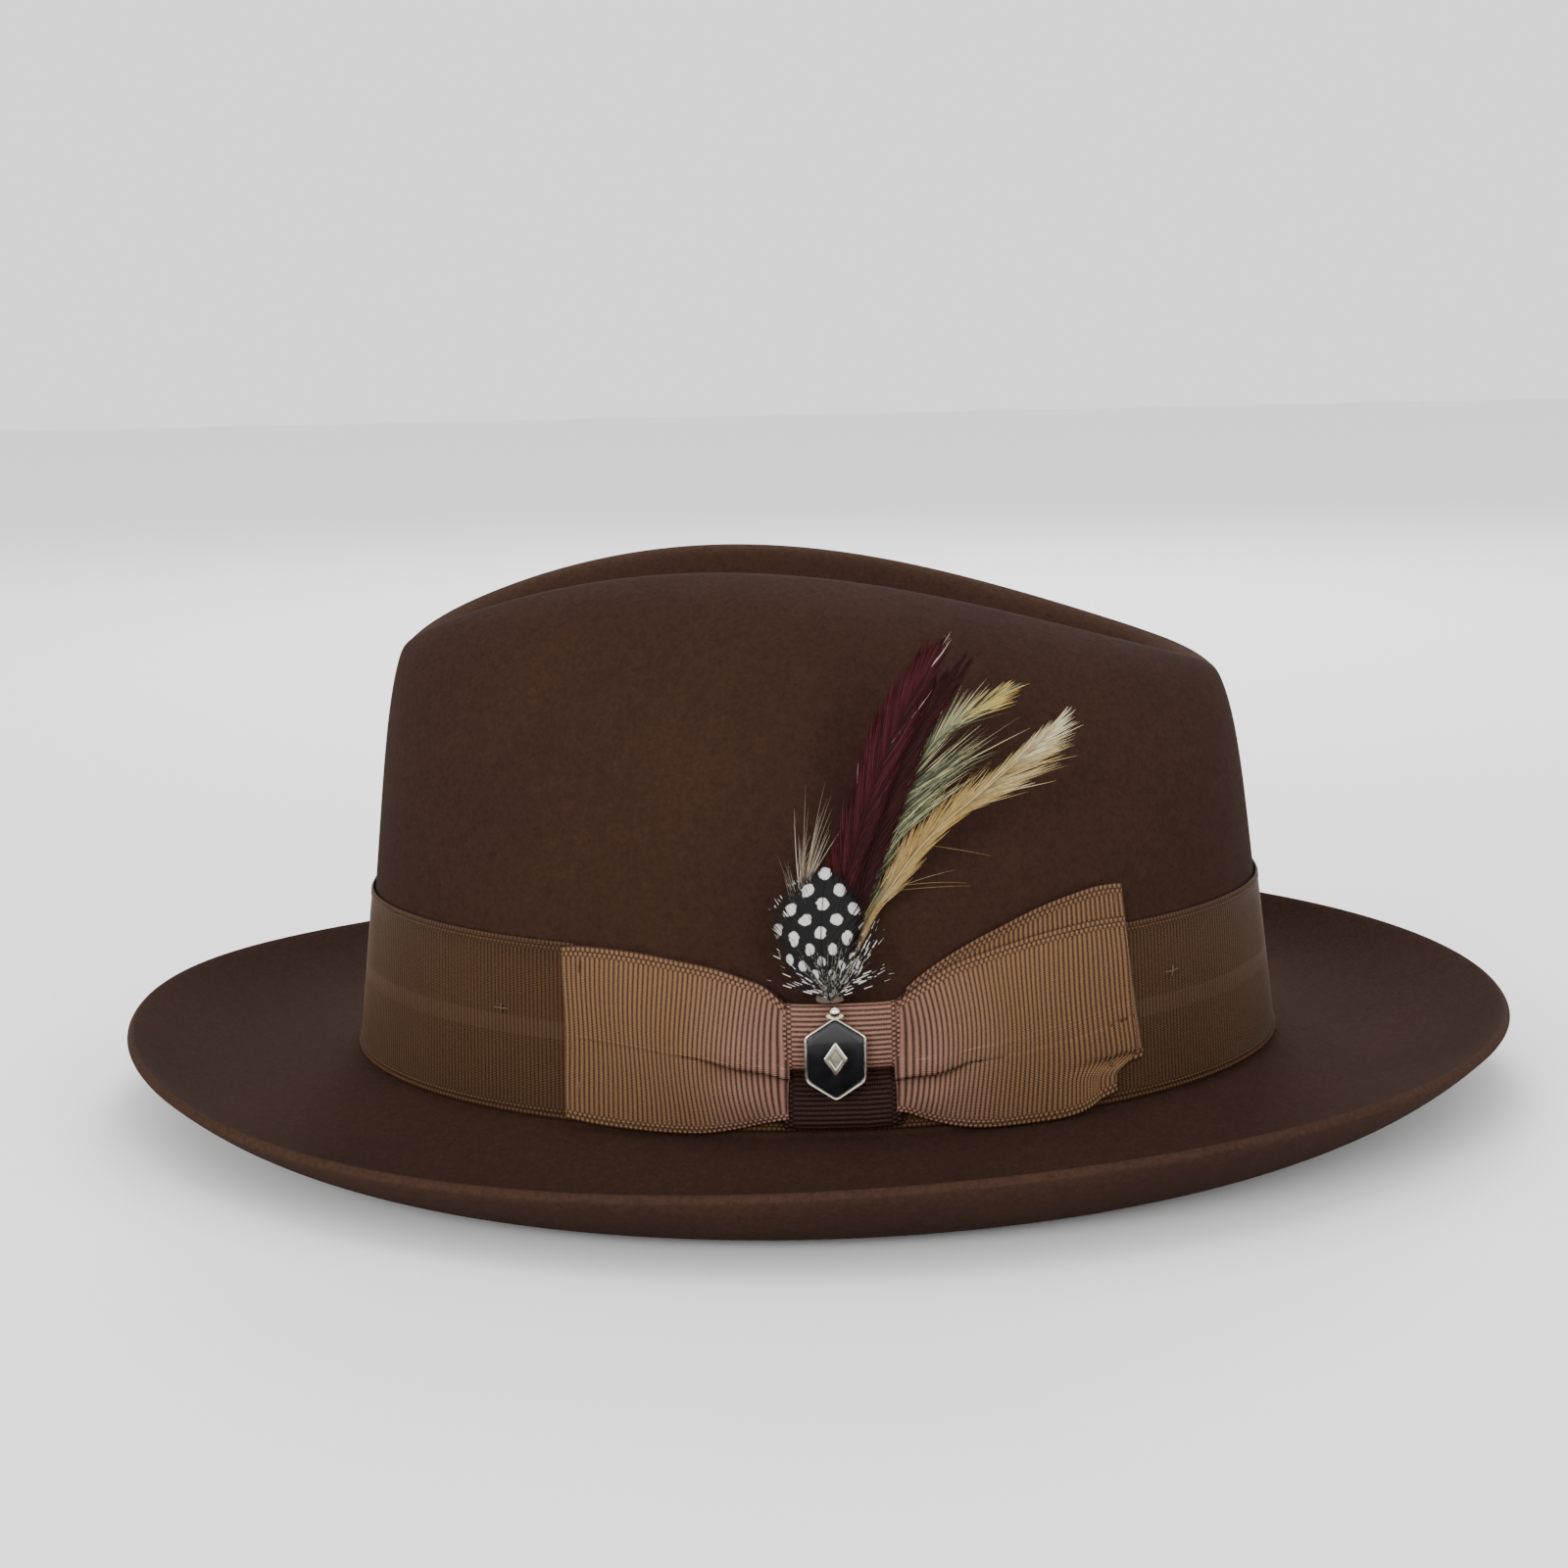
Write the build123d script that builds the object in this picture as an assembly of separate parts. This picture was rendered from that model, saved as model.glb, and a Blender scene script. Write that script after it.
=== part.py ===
from build123d import *
import os
import numpy as np

# A felt fedora with a centre-dent crown, a grosgrain band, a side bow, feathers and a pin badge.
# Millimetres, +Z up. The front is -Y and the wearer's left, where the bow sits, is +X.
# The origin is on the plane that the brim rests on, below the centre of the brim's oval.
# Heights in the functions are above the lower edge of the band. The parts are lifted when written.

# ---- driving dimensions --------------------------------------------------------------------
FELT = 2.2                                  # thickness of the felt
BASE_X, BASE_Y = 87.15, 103.85              # half axes of the felt's outer oval at the break
BRIM_X, BRIM_Y = 143.4, 153.9               # half axes of the brim's upper outline
BREAK_Z = -1.0                              # height of the break, where wall turns into brim

CREST_X, CREST_Y = 35.5, 89.8               # half axes of the crest around the dent
CREST_SHIFT = -0.6                          # the crest's centre lies a little forward
FLOOR_Y = 79.0                              # half length of the dent's floor
DENT_MIDDLE, DENT_END = 22.0, 5.5           # depth of the dent below the crest
RISE_SIDE, RISE_END = 2.3, 12.0             # how late the dent's floor rises to the crest
FLAT = 0.03                                 # share of the crest's oval that is flat, at its centre

TAPER_SIDE, TAPER_END = 0.054, 0.125        # lean of the wall per mm of height
DOME_SIDE, DOME_END = 3.5, 8.0              # squareness of the wall's shoulder
LIP_SIDE, LIP_END = 15.0, 1.0               # how far the dome runs on inside the crest
PINCH_Y, PINCH_Z, PINCH_DEPTH = -45.0, 84.0, 4.0
PINCH_LONG, PINCH_HIGH = 17.0, 13.0

CREST_SOFT, BREAK_SOFT = 2.3, 0.7           # rounding of the crest and of the break

GAP = 0.25                                  # clearance between layers
RIBBON = 0.5                                # thickness of the band
BAND_LOW, BAND_HIGH = 0.3, 36.6             # lower and upper edge of the band
BAND_OUT = 0.15                             # gap between felt and band
ON_BAND = BAND_OUT + RIBBON + GAP           # where trimmings on the band begin

LINING = 0.4
LINING_IN = -(FELT + GAP + LINING)          # inner face of the lining and of the tape
LEATHER = 1.0
SWEAT_OUT = LINING_IN - GAP - 0.05          # outer face of the sweatband
SWEAT_IN = SWEAT_OUT - LEATHER
SWEAT_LOW, SWEAT_HIGH = -2.2, 50.0
TAPE_LOW, TAPE_HIGH = -0.6, 9.0
LINING_LOW = 10.0
TIP_ROWS = 20                               # rows of the felt's sections that the lining's tip covers
SEAM = 0.5                                  # gap at the seam of the lining
REED_RADIUS = 0.75
BOW_Z = 12.0                                # height of the small bow inside, at the back
STITCH_Z, THREAD = 3.0, 0.5                 # height and width of the line of stitching

POST_Y, POST_Z, POST_RADIUS = 2.9, 13.0, 0.5
POST_TRAVEL_CLEAR = 0.2                     # radial clearance of the post's holes in the bow
CLUTCH_BORE = POST_RADIUS + 0.03
KNOT_FROM, KNOT_TO = -7.6, 16.0             # the centre wrap, along Y
KNOT_LOW, KNOT_HIGH = 1.2, 26.6
CENTRE_IN, CENTRE_OUT = 3.0, 4.3            # the gathered ribbon below the wrap
KNOT_IN, KNOT_OUT = 4.6, 5.4
BADGE_BACK, BADGE_FACE = 5.9, 7.0
STATION = 3.0                               # spacing of the sections along the bow
QUILL_FOOT = 18.0                           # lower end of the quills, above the badge's post
VANE_LOW = 29.5                             # where the feathers' vanes begin

HALF = np.linspace(0, np.pi, 33)            # angles from the back (0) round to the front (pi)
SIDE = np.linspace(0.15, 2.99, 120)


# ---- the felt's outer surface ----------------------------------------------------------------
def mix(angle, side, end, power=2):
    """A value that is `side` at the sides of the hat and `end` at its front and back."""
    return side + (end - side) * np.abs(np.cos(angle)) ** power


def crest_height(y):
    """Height of the crest at a place along the hat: highest ahead of the middle."""
    u = (y - CREST_SHIFT) / CREST_Y
    return 107.1 - 10.3 * u - 20.65 * u**2 + 6.1 * u**3 + 2.36 * u**4


def dent_floor(y):
    share = 1 - min(1, abs(y / FLOOR_Y)) ** 2
    return crest_height(y) - DENT_END - (DENT_MIDDLE - DENT_END) * share


DENT_CENTRE = np.array([0.0, CREST_SHIFT])
FLAT_SLOPE = (dent_floor(CREST_SHIFT + 1) - dent_floor(CREST_SHIFT - 1)) / 2


def dent_middle():
    return CREST_SHIFT, dent_floor(CREST_SHIFT)


def base_point(angle):
    return np.array([BASE_X * np.sin(angle), BASE_Y * np.cos(angle)])


def crest_point(angle):
    return np.array([CREST_X * np.sin(angle), CREST_SHIFT + CREST_Y * np.cos(angle)])


def wall_inset(angle, z):
    """How far the wall at height z stands inside the base oval, towards the crest."""
    span = np.linalg.norm(base_point(angle) - crest_point(angle))
    top = crest_height(crest_point(angle)[1])
    lip = mix(angle, LIP_SIDE, LIP_END)
    taper = mix(angle, TAPER_SIDE, TAPER_END)
    dome = mix(angle, DOME_SIDE, DOME_END, 4)
    width = span + lip - taper * top
    apex = top / (1 - (lip / width) ** 2) ** (1 / dome)
    share = np.clip(np.asarray(z) / apex, 0, 1)
    return taper * np.asarray(z) + width * (1 - np.sqrt(1 - share**dome))


def inward(angle):
    step = crest_point(angle) - base_point(angle)
    return step / np.linalg.norm(step)


def outward(angle):
    normal = np.array([np.sin(angle) / BASE_X, np.cos(angle) / BASE_Y])
    return normal / np.linalg.norm(normal)


def wall_point(angle, z, out=0.0):
    """A point at a distance `out` from the felt's outer wall, at height z."""
    x, y = base_point(angle) + inward(angle) * wall_inset(angle, z) + outward(angle) * out
    return np.array([x, y, z])


def side_point(y, z, out):
    """A point at a distance `out` from the wall on the bow's side, at a given y and height."""
    ring = np.array([wall_point(angle, z, out) for angle in SIDE])
    return np.array([np.interp(-y, -ring[:, 1], ring[:, 0]), y, z])


def dent_line(angle):
    """From the small flat at the dent's centre out to the crest."""
    crest = crest_point(angle)
    rise = mix(angle, RISE_SIDE, RISE_END, 6)
    points = []
    for share in np.linspace(FLAT, 1, 40)[:-1]:
        x, y = DENT_CENTRE + (crest - DENT_CENTRE) * share
        floor = dent_floor(y)
        points.append((x, y, floor + (crest_height(crest[1]) - floor) * share**rise))
    x, y, _ = points[0]
    points[0] = (x, y, dent_floor(DENT_CENTRE[1]) + FLAT_SLOPE * (y - DENT_CENTRE[1]))
    return points


def wall_line(angle):
    """From the crest down to the break."""
    top = crest_height(crest_point(angle)[1])
    heights = top * (1 - np.linspace(0, 1, 240) ** 2)
    return [wall_point(angle, z) for z in heights] + [wall_point(angle, 0) + [0, 0, BREAK_Z / 2]]


def rim_height(angle):
    """Upper edge of the brim: high in front and behind, low at the front quarters."""
    waves = [6.8, 0.98, 1.35, -1.44, 0.38]
    return sum(size * np.cos(turn * angle) for turn, size in enumerate(waves))


def brim_line(angle):
    """From the break out to the edge: it falls away, then curls up."""
    start = base_point(angle)
    end = np.array([BRIM_X * np.sin(angle), BRIM_Y * np.cos(angle)])
    width = np.linalg.norm(end - start)
    fall = 0.246 - 0.019 * np.cos(2 * angle)
    curl = 3.66 - 0.79 * np.cos(2 * angle)
    lift = rim_height(angle) + fall * width
    points = []
    for share in np.linspace(0, 1, 120):
        x, y = start + (end - start) * share
        points.append((x, y, BREAK_Z * (1 - share) - fall * width * share + lift * share**curl))
    return points


def graded(count, ends):
    """Shares from 0 to 1, closer together near both ends."""
    even = np.linspace(0, 1, count)
    return (1 - ends) * even + ends * (0.5 - 0.5 * np.cos(np.pi * even))


def felt_section(angle, dent_count=14, wall_count=26, brim_count=16):
    """One section of the outer surface, with its crest and its break rounded off."""
    dent, wall, brim = dent_line(angle), wall_line(angle), brim_line(angle)
    raw = np.array(dent + wall + brim)
    run = np.append(0, np.cumsum(np.linalg.norm(np.diff(raw, axis=0), axis=1)))
    crest, corner, end = run[len(dent)], run[len(dent) + len(wall)], run[-1]
    stops = np.concatenate([
        crest * (1 - (1 - np.linspace(0, 1, dent_count)[:-1]) ** 1.4),
        crest + (corner - crest) * graded(wall_count, 0.8)[:-1],
        corner + (end - corner) * np.linspace(0, 1, brim_count) ** 1.5])
    soft = (CREST_SOFT * np.exp(-((stops - crest) / 9) ** 2)
            + BREAK_SOFT * np.exp(-((stops - corner) / 4) ** 2))
    soft = np.minimum(soft, np.minimum(stops, end - stops) / 2)
    section = np.zeros((len(stops), 3))
    offsets = np.linspace(-2, 2, 17)
    weights = np.exp(-offsets**2 / 2)
    for offset, weight in zip(offsets, weights / weights.sum()):
        sample = np.clip(stops + offset * soft, 0, end)
        section += weight * np.array([np.interp(sample, run, raw[:, k]) for k in range(3)]).T
    return pinched(section)


def pinched(section):
    """The shallow hollow where fingers take the front of the crown."""
    y, z = section[:, 1], section[:, 2]
    hollow = np.exp(-((y - PINCH_Y) / PINCH_LONG) ** 2 - ((z - PINCH_Z) / PINCH_HIGH) ** 2)
    fade = np.clip((np.abs(section[:, 0]) - CREST_X) / CREST_X, 0, 1)
    section[:, 0] -= PINCH_DEPTH * hollow * fade
    return section


def surface_normals(grid):
    """Unit normals of a half surface, pointing up and out of the hat."""
    normals = np.cross(np.gradient(grid, axis=0), np.gradient(grid, axis=1))
    normals *= np.sign(normals[len(grid) // 2, -1, 2])
    normals[[0, -1], :, 0] = 0
    normals[:, 0] = (0, -FLAT_SLOPE, 1)
    return normals / np.linalg.norm(normals, axis=2, keepdims=True)


# ---- solids from sections --------------------------------------------------------------------
def spline(points):
    shares = list(np.linspace(0, 1, len(points)))
    return Edge.make_spline([Vector(*point) for point in points], parameters=shares)


def strip_wire(outer, inner):
    """A closed section: two long faces with square ends."""
    there, back = spline(outer), spline(inner)
    return Wire([there, Edge.make_line(there @ 1, back @ 1), back, Edge.make_line(back @ 0, there @ 0)])


def mirrored(half):
    """The whole piece from its half at +X: the faces of both halves, sewn at the middle."""
    skin = [face for face in half.faces() if abs(face.center().X) > 0.01]
    return Solid(Shell(skin + [face.mirror(Plane.YZ) for face in skin]))


def capped(half):
    """As mirrored(), for a piece whose sections start at the small flat at the dent's centre."""
    faces = half.faces().sort_by(lambda face: (face.center() - Vector(0, *dent_middle())).length)
    opening = faces[0]
    skin = [face for face in faces[1:] if abs(face.center().X) > 0.01]
    whole = skin + [face.mirror(Plane.YZ) for face in skin]
    for edge in opening.edges().sort_by(Edge.length)[-2:]:
        whole.append(Face(Wire([edge, edge.mirror(Plane.YZ)])))
    return Solid(Shell(whole))


def ring_strip(low, high, inner, outer, rows=6):
    """A closed band that follows the wall between two heights and two distances from the felt."""
    heights = np.linspace(low, high, rows)
    wires = []
    for angle in HALF:
        faces = [[wall_point(angle, max(z, 0), out) + [0, 0, min(z, 0)] for z in heights]
                 for out in (outer, inner)]
        wires.append(strip_wire(*faces))
    return mirrored(Solid.make_loft(wires))


def ring_cord(z, out, radius):
    """A closed round cord that follows the wall at one height."""
    wires = []
    for angle in HALF:
        centre = wall_point(angle, max(z, 0), out) + [0, 0, min(z, 0)]
        along = np.array([BASE_X * np.cos(angle), -BASE_Y * np.sin(angle), 0])
        wires.append(Wire.make_circle(radius, Plane(tuple(centre), (0, 0, 1), tuple(along))))
    return mirrored(Solid.make_loft(wires))


def side_patch(stations):
    """A slab on the bow's side: (y, low, high, inner, edge, bulge) at each station along Y."""
    table = np.array(stations)
    count = int(np.ceil((table[-1, 0] - table[0, 0]) / STATION)) + 1
    wires = []
    for y in np.union1d(np.linspace(table[0, 0], table[-1, 0], count), table[:, 0]):
        low, high, inner, edge, bulge = (np.interp(y, table[:, 0], column) for column in table.T[1:])
        shares = np.linspace(0, 1, 5)
        heights = low + (high - low) * shares
        swell = edge + (bulge - edge) * np.sin(np.pi * shares)
        outer = [side_point(y, z, out) for z, out in zip(heights, swell)]
        wires.append(strip_wire(outer, [side_point(y, z, inner) for z in heights]))
    return Solid.make_loft(wires, True)


def post_cylinder(radius, start, end):
    """A round bar along the badge's post between two distances from the wall."""
    x = side_point(POST_Y, POST_Z, 0)[0]
    plane = Plane((x + start, POST_Y, POST_Z), z_dir=(1, 0, 0))
    return plane * Cylinder(radius, end - start, align=(Align.CENTER, Align.CENTER, Align.MIN))


def side_box(y, z, out, size):
    """A small block lying on the trimmings, `size` being its thickness, length and height."""
    x = side_point(y, z, out)[0]
    lean = np.degrees(np.arctan2(side_point(y - 2, z, out)[0] - side_point(y + 2, z, out)[0], 4))
    return Pos(x, y, z) * Rot(0, 0, lean) * Box(*size)


# ---- felt and linings ------------------------------------------------------------------------
OUTER = np.array([felt_section(angle) for angle in HALF])
NORMALS = surface_normals(OUTER)
UNDER = OUTER - FELT * NORMALS
LIFT = -UNDER[..., 2].min()                 # raises the lowest point of the brim to z = 0


def felt_body():
    return capped(Solid.make_loft([strip_wire(top, under) for top, under in zip(OUTER, UNDER)]))


def lining_faces(slack=0.0):
    """The two faces of the lining, where it follows the felt."""
    return [OUTER + (out - slack) * NORMALS for out in (LINING_IN + LINING, LINING_IN)]


def lining_tip():
    """The lining's top: it follows the felt from the dent's floor to the seam."""
    upper, lower = (face[:, :TIP_ROWS] for face in lining_faces(0.2))
    return capped(Solid.make_loft([strip_wire(*pair) for pair in zip(upper, lower)]))


def lining_side():
    """The lining's wall, from just above the tape up to the seam under the tip."""
    wires = []
    for pair in zip(*lining_faces()):
        heights = np.linspace(LINING_LOW, pair[1][TIP_ROWS - 1, 2] - SEAM, 9)
        faces = []
        for face in pair:
            wall = face[TIP_ROWS - 3:TIP_ROWS + 22][::-1]
            x, y = (np.interp(heights, wall[:, 2], wall[:, k]) for k in range(2))
            faces.append(np.array([x, y, heights]).T)
        wires.append(strip_wire(*faces))
    return mirrored(Solid.make_loft(wires))


def sweatband_bow():
    """A flat bow of narrow ribbon on the sweatband, at the centre back."""
    knot_y = wall_point(0, BOW_Z, SWEAT_IN - GAP)[1] - 1.0
    knot = Pos(0, knot_y, BOW_Z) * Box(4, 1.8, 4.5)
    loops = []
    for turn in (-0.085, 0.085):
        spot = wall_point(turn, BOW_Z, SWEAT_IN - GAP - 0.7)
        lean = -np.degrees(np.arctan2(*outward(turn)))
        loops.append(Pos(*spot) * Rot(0, 0, lean) * Box(10, 0.6, 7))
    return knot + loops


# ---- band and bow ----------------------------------------------------------------------------
def band_ribbon():
    """The band, drawn down behind the centre of the bow so that felt shows above the knot."""
    ring = ring_strip(BAND_LOW, BAND_HIGH, BAND_OUT, BAND_OUT + RIBBON)
    above = BAND_HIGH + 1
    dip = Polyline((-50, above), (-44, 35), (-36, 34.5), (-24, 32.5), (-15, 29.8), (-9, 27), (KNOT_FROM, 25.5),
                   (KNOT_TO, 25.5), (19, 27), (28, 32.5), (34, above), close=True)
    return ring - Plane.YZ * extrude(make_face(dip), 120)


def band_tacks():
    """Short cross stitches that hold the band, the same on both sides."""
    marks = []
    for y, z in ((-65.6, 21.5), (73.7, 24.8)):
        for size in ((0.4, 3.0, 0.5), (0.4, 0.5, 2.0)):
            mark = side_box(y, z, ON_BAND + 0.1, size)
            marks += [mark, mark.mirror(Plane.YZ)]
    return marks[0] + marks[1:]


def bow_front_loop():
    loop = side_patch([
        (-51.6, 1.4, 36.0, ON_BAND, 1.5, 1.7),
        (-47.0, 0.8, 36.3, ON_BAND, 2.1, 3.0),
        (-36.0, 0.4, 35.8, ON_BAND, 2.6, 4.6),
        (-24.0, 0.3, 33.8, ON_BAND, 2.8, 5.4),
        (-15.0, 1.2, 31.2, ON_BAND, 3.0, 5.4),
        (-10.0, 2.2, 28.4, 2.0, 3.4, 4.6),
        (KNOT_FROM - 0.3, 2.6, 25.2, CENTRE_IN, 3.8, CENTRE_OUT),
        (4.0, 3.6, 24.4, CENTRE_IN, 3.8, CENTRE_OUT)])
    return loop - post_cylinder(POST_RADIUS + POST_TRAVEL_CLEAR, 0, 12)


def bow_rear_loop():
    layer = ON_BAND + 1.2
    return side_patch([
        (4.3, 3.6, 24.4, CENTRE_IN, 3.8, CENTRE_OUT),
        (KNOT_TO + 0.3, 2.6, 25.2, CENTRE_IN, 3.8, CENTRE_OUT),
        (24.0, 0.5, 31.2, layer, 3.4, 5.6),
        (34.0, 0.2, 34.8, layer, 3.2, 5.4),
        (46.0, 0.2, 37.2, layer, 2.9, 4.2),
        (56.0, 1.2, 38.4, layer, 2.7, 3.2),
        (61.0, 3.0, 38.6, layer, 2.5, 2.6)])


def bow_rear_tail():
    thick = ON_BAND + 0.7
    return side_patch([
        (17.5, 4.0, 28.6, ON_BAND, thick, thick + 0.2),
        (25.0, 2.0, 33.9, ON_BAND, thick, thick + 0.2),
        (34.0, 2.0, 38.4, ON_BAND, thick, thick + 0.1),
        (46.0, 3.0, 42.6, ON_BAND, thick, thick),
        (56.0, 6.0, 44.9, ON_BAND, thick, thick),
        (62.5, 8.8, 44.9, ON_BAND, thick, thick),
        (66.4, 9.2, 21.0, ON_BAND, thick, thick)])


def knot_wrap():
    """The centre wrap: a front face with lips that turn in above and below."""
    low, high, lip = KNOT_LOW, KNOT_HIGH, KNOT_OUT - KNOT_IN
    corners = [(low, KNOT_OUT), (high, KNOT_OUT), (high, CENTRE_IN), (high - lip, CENTRE_IN),
               (high - lip, KNOT_IN), (low + lip, KNOT_IN), (low + lip, CENTRE_IN), (low, CENTRE_IN)]
    wires = []
    for y in np.linspace(KNOT_FROM, KNOT_TO, 5):
        wires.append(Wire.make_polygon([Vector(*side_point(y, z, out)) for z, out in corners]))
    wrap = Solid.make_loft(wires, True)
    return wrap - post_cylinder(POST_RADIUS + POST_TRAVEL_CLEAR, 0, 12)


def bow_tacks():
    """Two small stitches on each end of the bow."""
    ends = ((-48.6, 32.5, 2.9), (-49.0, 7.5, 2.8), (60.2, 9.6, 3.2), (60.6, 42.6, 2.0))
    marks = [side_box(y, z, out + GAP + 0.2, (0.4, 0.5, 3.0)) for y, z, out in ends]
    return marks[0] + marks[1:]


# ---- feathers --------------------------------------------------------------------------------
def feather_x(z, layer):
    """Distance from the hat's centre: the quills stand at the band and lean in above it."""
    foot = side_point(1.5, QUILL_FOOT, ON_BAND)[0]
    return foot + 0.45 + layer * 0.76 - 0.06 * (z - VANE_LOW)


def vane(layer, line, widths):
    """A thin leaf-shaped plate: its midline as (y, z) points, and its half width at each."""
    wires = []
    line = np.array(line)
    along = np.gradient(line, axis=0)
    along /= np.linalg.norm(along, axis=1, keepdims=True)
    for (y, z), (dy, dz), half in zip(line, along, widths):
        x = feather_x(z, layer)
        corners = [(x + thick, y + side * half * dz, z - side * half * dy)
                   for thick, side in ((-0.25, -1), (0.25, -1), (0.25, 1), (-0.25, 1))]
        wires.append(Wire.make_polygon(corners))
    return Solid.make_loft(wires, True)


FEATHERS = {
    "golden_hackle": (0, [(7.0, VANE_LOW), (9.5, 41), (16, 52.8), (28, 63.5), (43, 76), (50, 86)],
                      [0.5, 1.6, 4.0, 4.2, 4.4, 0.8]),
    "olive_hackle": (1, [(5.6, VANE_LOW), (9.5, 45), (15.5, 62), (25, 76), (38, 87)],
                     [0.5, 1.6, 3.4, 5.5, 1.0]),
    "wisp_plume": (2, [(1.0, VANE_LOW), (-1.5, 40), (-3.0, 54), (-1.0, 68)], [0.5, 4.0, 4.5, 1.0]),
    "burgundy_feather_back": (3, [(4.4, VANE_LOW), (9.5, 52), (19, 76), (30.5, 97)], [0.5, 4.0, 4.6, 1.0]),
    "burgundy_feather_front": (4, [(2.8, VANE_LOW), (6.0, 52), (14.5, 78), (26.5, 101)],
                               [0.5, 4.6, 5.0, 1.0]),
    "small_guinea_feather": (5, [(4.8, VANE_LOW), (8.0, 34), (12.0, 36.5)], [0.6, 3.6, 1.8]),
    "guinea_feather": (6, [(1.2, VANE_LOW), (0.6, 36), (0.2, 44), (1.4, 54.6)], [0.8, 6.2, 7.6, 1.2]),
}


def quill_binding():
    """The quills bound with thread: a flat bundle in the pocket, flaring under the feathers."""
    foot = side_point(1.5, QUILL_FOOT, ON_BAND)[0]
    stem = Pos(foot + 0.5, 1.8, 0) * Box(0.9, 3.4, 27.6 - QUILL_FOOT, align=(
        Align.CENTER, Align.CENTER, Align.MIN))
    head = Pos(foot + 2.7, 3.4, 27.4) * Box(5.0, 8.0, 1.8, align=(
        Align.CENTER, Align.CENTER, Align.MIN))
    return Pos(0, 0, QUILL_FOOT) * stem + head


# ---- badge -----------------------------------------------------------------------------------
def badge_outline(grow):
    """A long hexagon of generic shape, made larger or smaller by `grow`."""
    half_wide, half_high, shoulder = 6.2 + grow, 8.6 + grow, 4.6 + grow * 0.6
    corners = [(0, half_high), (half_wide, shoulder), (half_wide, -shoulder),
               (0, -half_high), (-half_wide, -shoulder), (-half_wide, shoulder)]
    return make_face(Polyline(*corners, close=True))


def badge_plane(out):
    x = side_point(POST_Y, POST_Z, 0)[0]
    return Plane((x + out, POST_Y, POST_Z + 3.4), x_dir=(0, 1, 0), z_dir=(1, 0, 0))


def badge_plate():
    """A metal plate with a raised rim and a small bead on top."""
    plate = badge_plane(BADGE_BACK) * extrude(badge_outline(0), BADGE_FACE - BADGE_BACK)
    tray = badge_plane(BADGE_BACK + 0.5) * extrude(badge_outline(-0.9), 1)
    bead = badge_plane((BADGE_BACK + BADGE_FACE) / 2) * Pos(0, 9.6, 0) * Sphere(1.15)
    return plate - tray + bead


def badge_enamel():
    """The dark fill of the tray."""
    return badge_plane(BADGE_BACK + 0.52) * extrude(badge_outline(-0.95), 0.4)


def badge_post():
    """The post and its foot on the back of the plate, just touching it."""
    foot = post_cylinder(1.6, BADGE_BACK - 0.25, BADGE_BACK - 0.01)
    return foot + post_cylinder(POST_RADIUS, 1.25, BADGE_BACK - 0.1)


def pin_clutch():
    """A flat clutch behind the bow, with a blind bore for the post."""
    return post_cylinder(3.0, ON_BAND, CENTRE_IN - 0.3) - post_cylinder(CLUTCH_BORE, 1.1, 4)


# ---- write every piece -----------------------------------------------------------------------
def pieces():
    made = {
        "felt_body": felt_body(),
        "band_ribbon": band_ribbon(),
        "band_tacks": band_tacks(),
        "bow_front_loop": bow_front_loop(),
        "bow_rear_loop": bow_rear_loop(),
        "bow_rear_tail": bow_rear_tail(),
        "knot_wrap": knot_wrap(),
        "bow_tacks": bow_tacks(),
        "quill_binding": quill_binding(),
        "badge_plate": badge_plate(),
        "badge_enamel": badge_enamel(),
        "badge_post": badge_post(),
        "pin_clutch": pin_clutch(),
        "reed_tape": ring_strip(TAPE_LOW, TAPE_HIGH, LINING_IN, LINING_IN + LINING),
        "sweatband": ring_strip(SWEAT_LOW, SWEAT_HIGH, SWEAT_IN, SWEAT_OUT),
        "sweatband_reed": ring_cord(SWEAT_LOW - GAP - REED_RADIUS, SWEAT_OUT - LEATHER / 2, REED_RADIUS),
        "sweatband_stitching": ring_strip(
            STITCH_Z, STITCH_Z + THREAD, SWEAT_IN - GAP - THREAD, SWEAT_IN - GAP),
        "sweatband_bow": sweatband_bow(),
        "lining_side": lining_side(),
        "lining_tip": lining_tip(),
    }
    for name, (layer, line, widths) in FEATHERS.items():
        made[name] = vane(layer, line, widths)
    return made


os.makedirs("parts", exist_ok=True)
for name, shape in pieces().items():
    export_step(Pos(0, 0, LIFT) * shape, f"parts/{name}.step")
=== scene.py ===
import math

import bpy
import numpy as np
from mathutils import Matrix, Vector


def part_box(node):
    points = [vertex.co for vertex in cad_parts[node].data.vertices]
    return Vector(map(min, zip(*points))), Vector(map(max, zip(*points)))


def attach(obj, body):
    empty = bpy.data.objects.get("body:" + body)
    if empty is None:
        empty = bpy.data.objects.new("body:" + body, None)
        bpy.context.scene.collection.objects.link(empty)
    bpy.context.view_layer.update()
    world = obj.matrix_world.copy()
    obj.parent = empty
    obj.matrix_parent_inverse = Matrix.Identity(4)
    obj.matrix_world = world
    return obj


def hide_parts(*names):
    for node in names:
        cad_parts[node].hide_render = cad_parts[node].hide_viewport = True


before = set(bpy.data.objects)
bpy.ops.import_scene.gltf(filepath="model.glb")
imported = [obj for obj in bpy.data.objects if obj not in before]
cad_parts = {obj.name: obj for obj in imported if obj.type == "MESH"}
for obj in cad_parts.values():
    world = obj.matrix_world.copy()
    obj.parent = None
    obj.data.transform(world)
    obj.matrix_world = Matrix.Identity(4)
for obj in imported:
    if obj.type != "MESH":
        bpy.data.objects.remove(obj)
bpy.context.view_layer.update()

# The looks of a felt fedora. Shapes are worked out in millimetres, in the CAD model's frame with
# heights above the band's lower edge, and become metres when a mesh is made.

MM = 0.001
RANDOM = np.random.default_rng(7)

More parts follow.
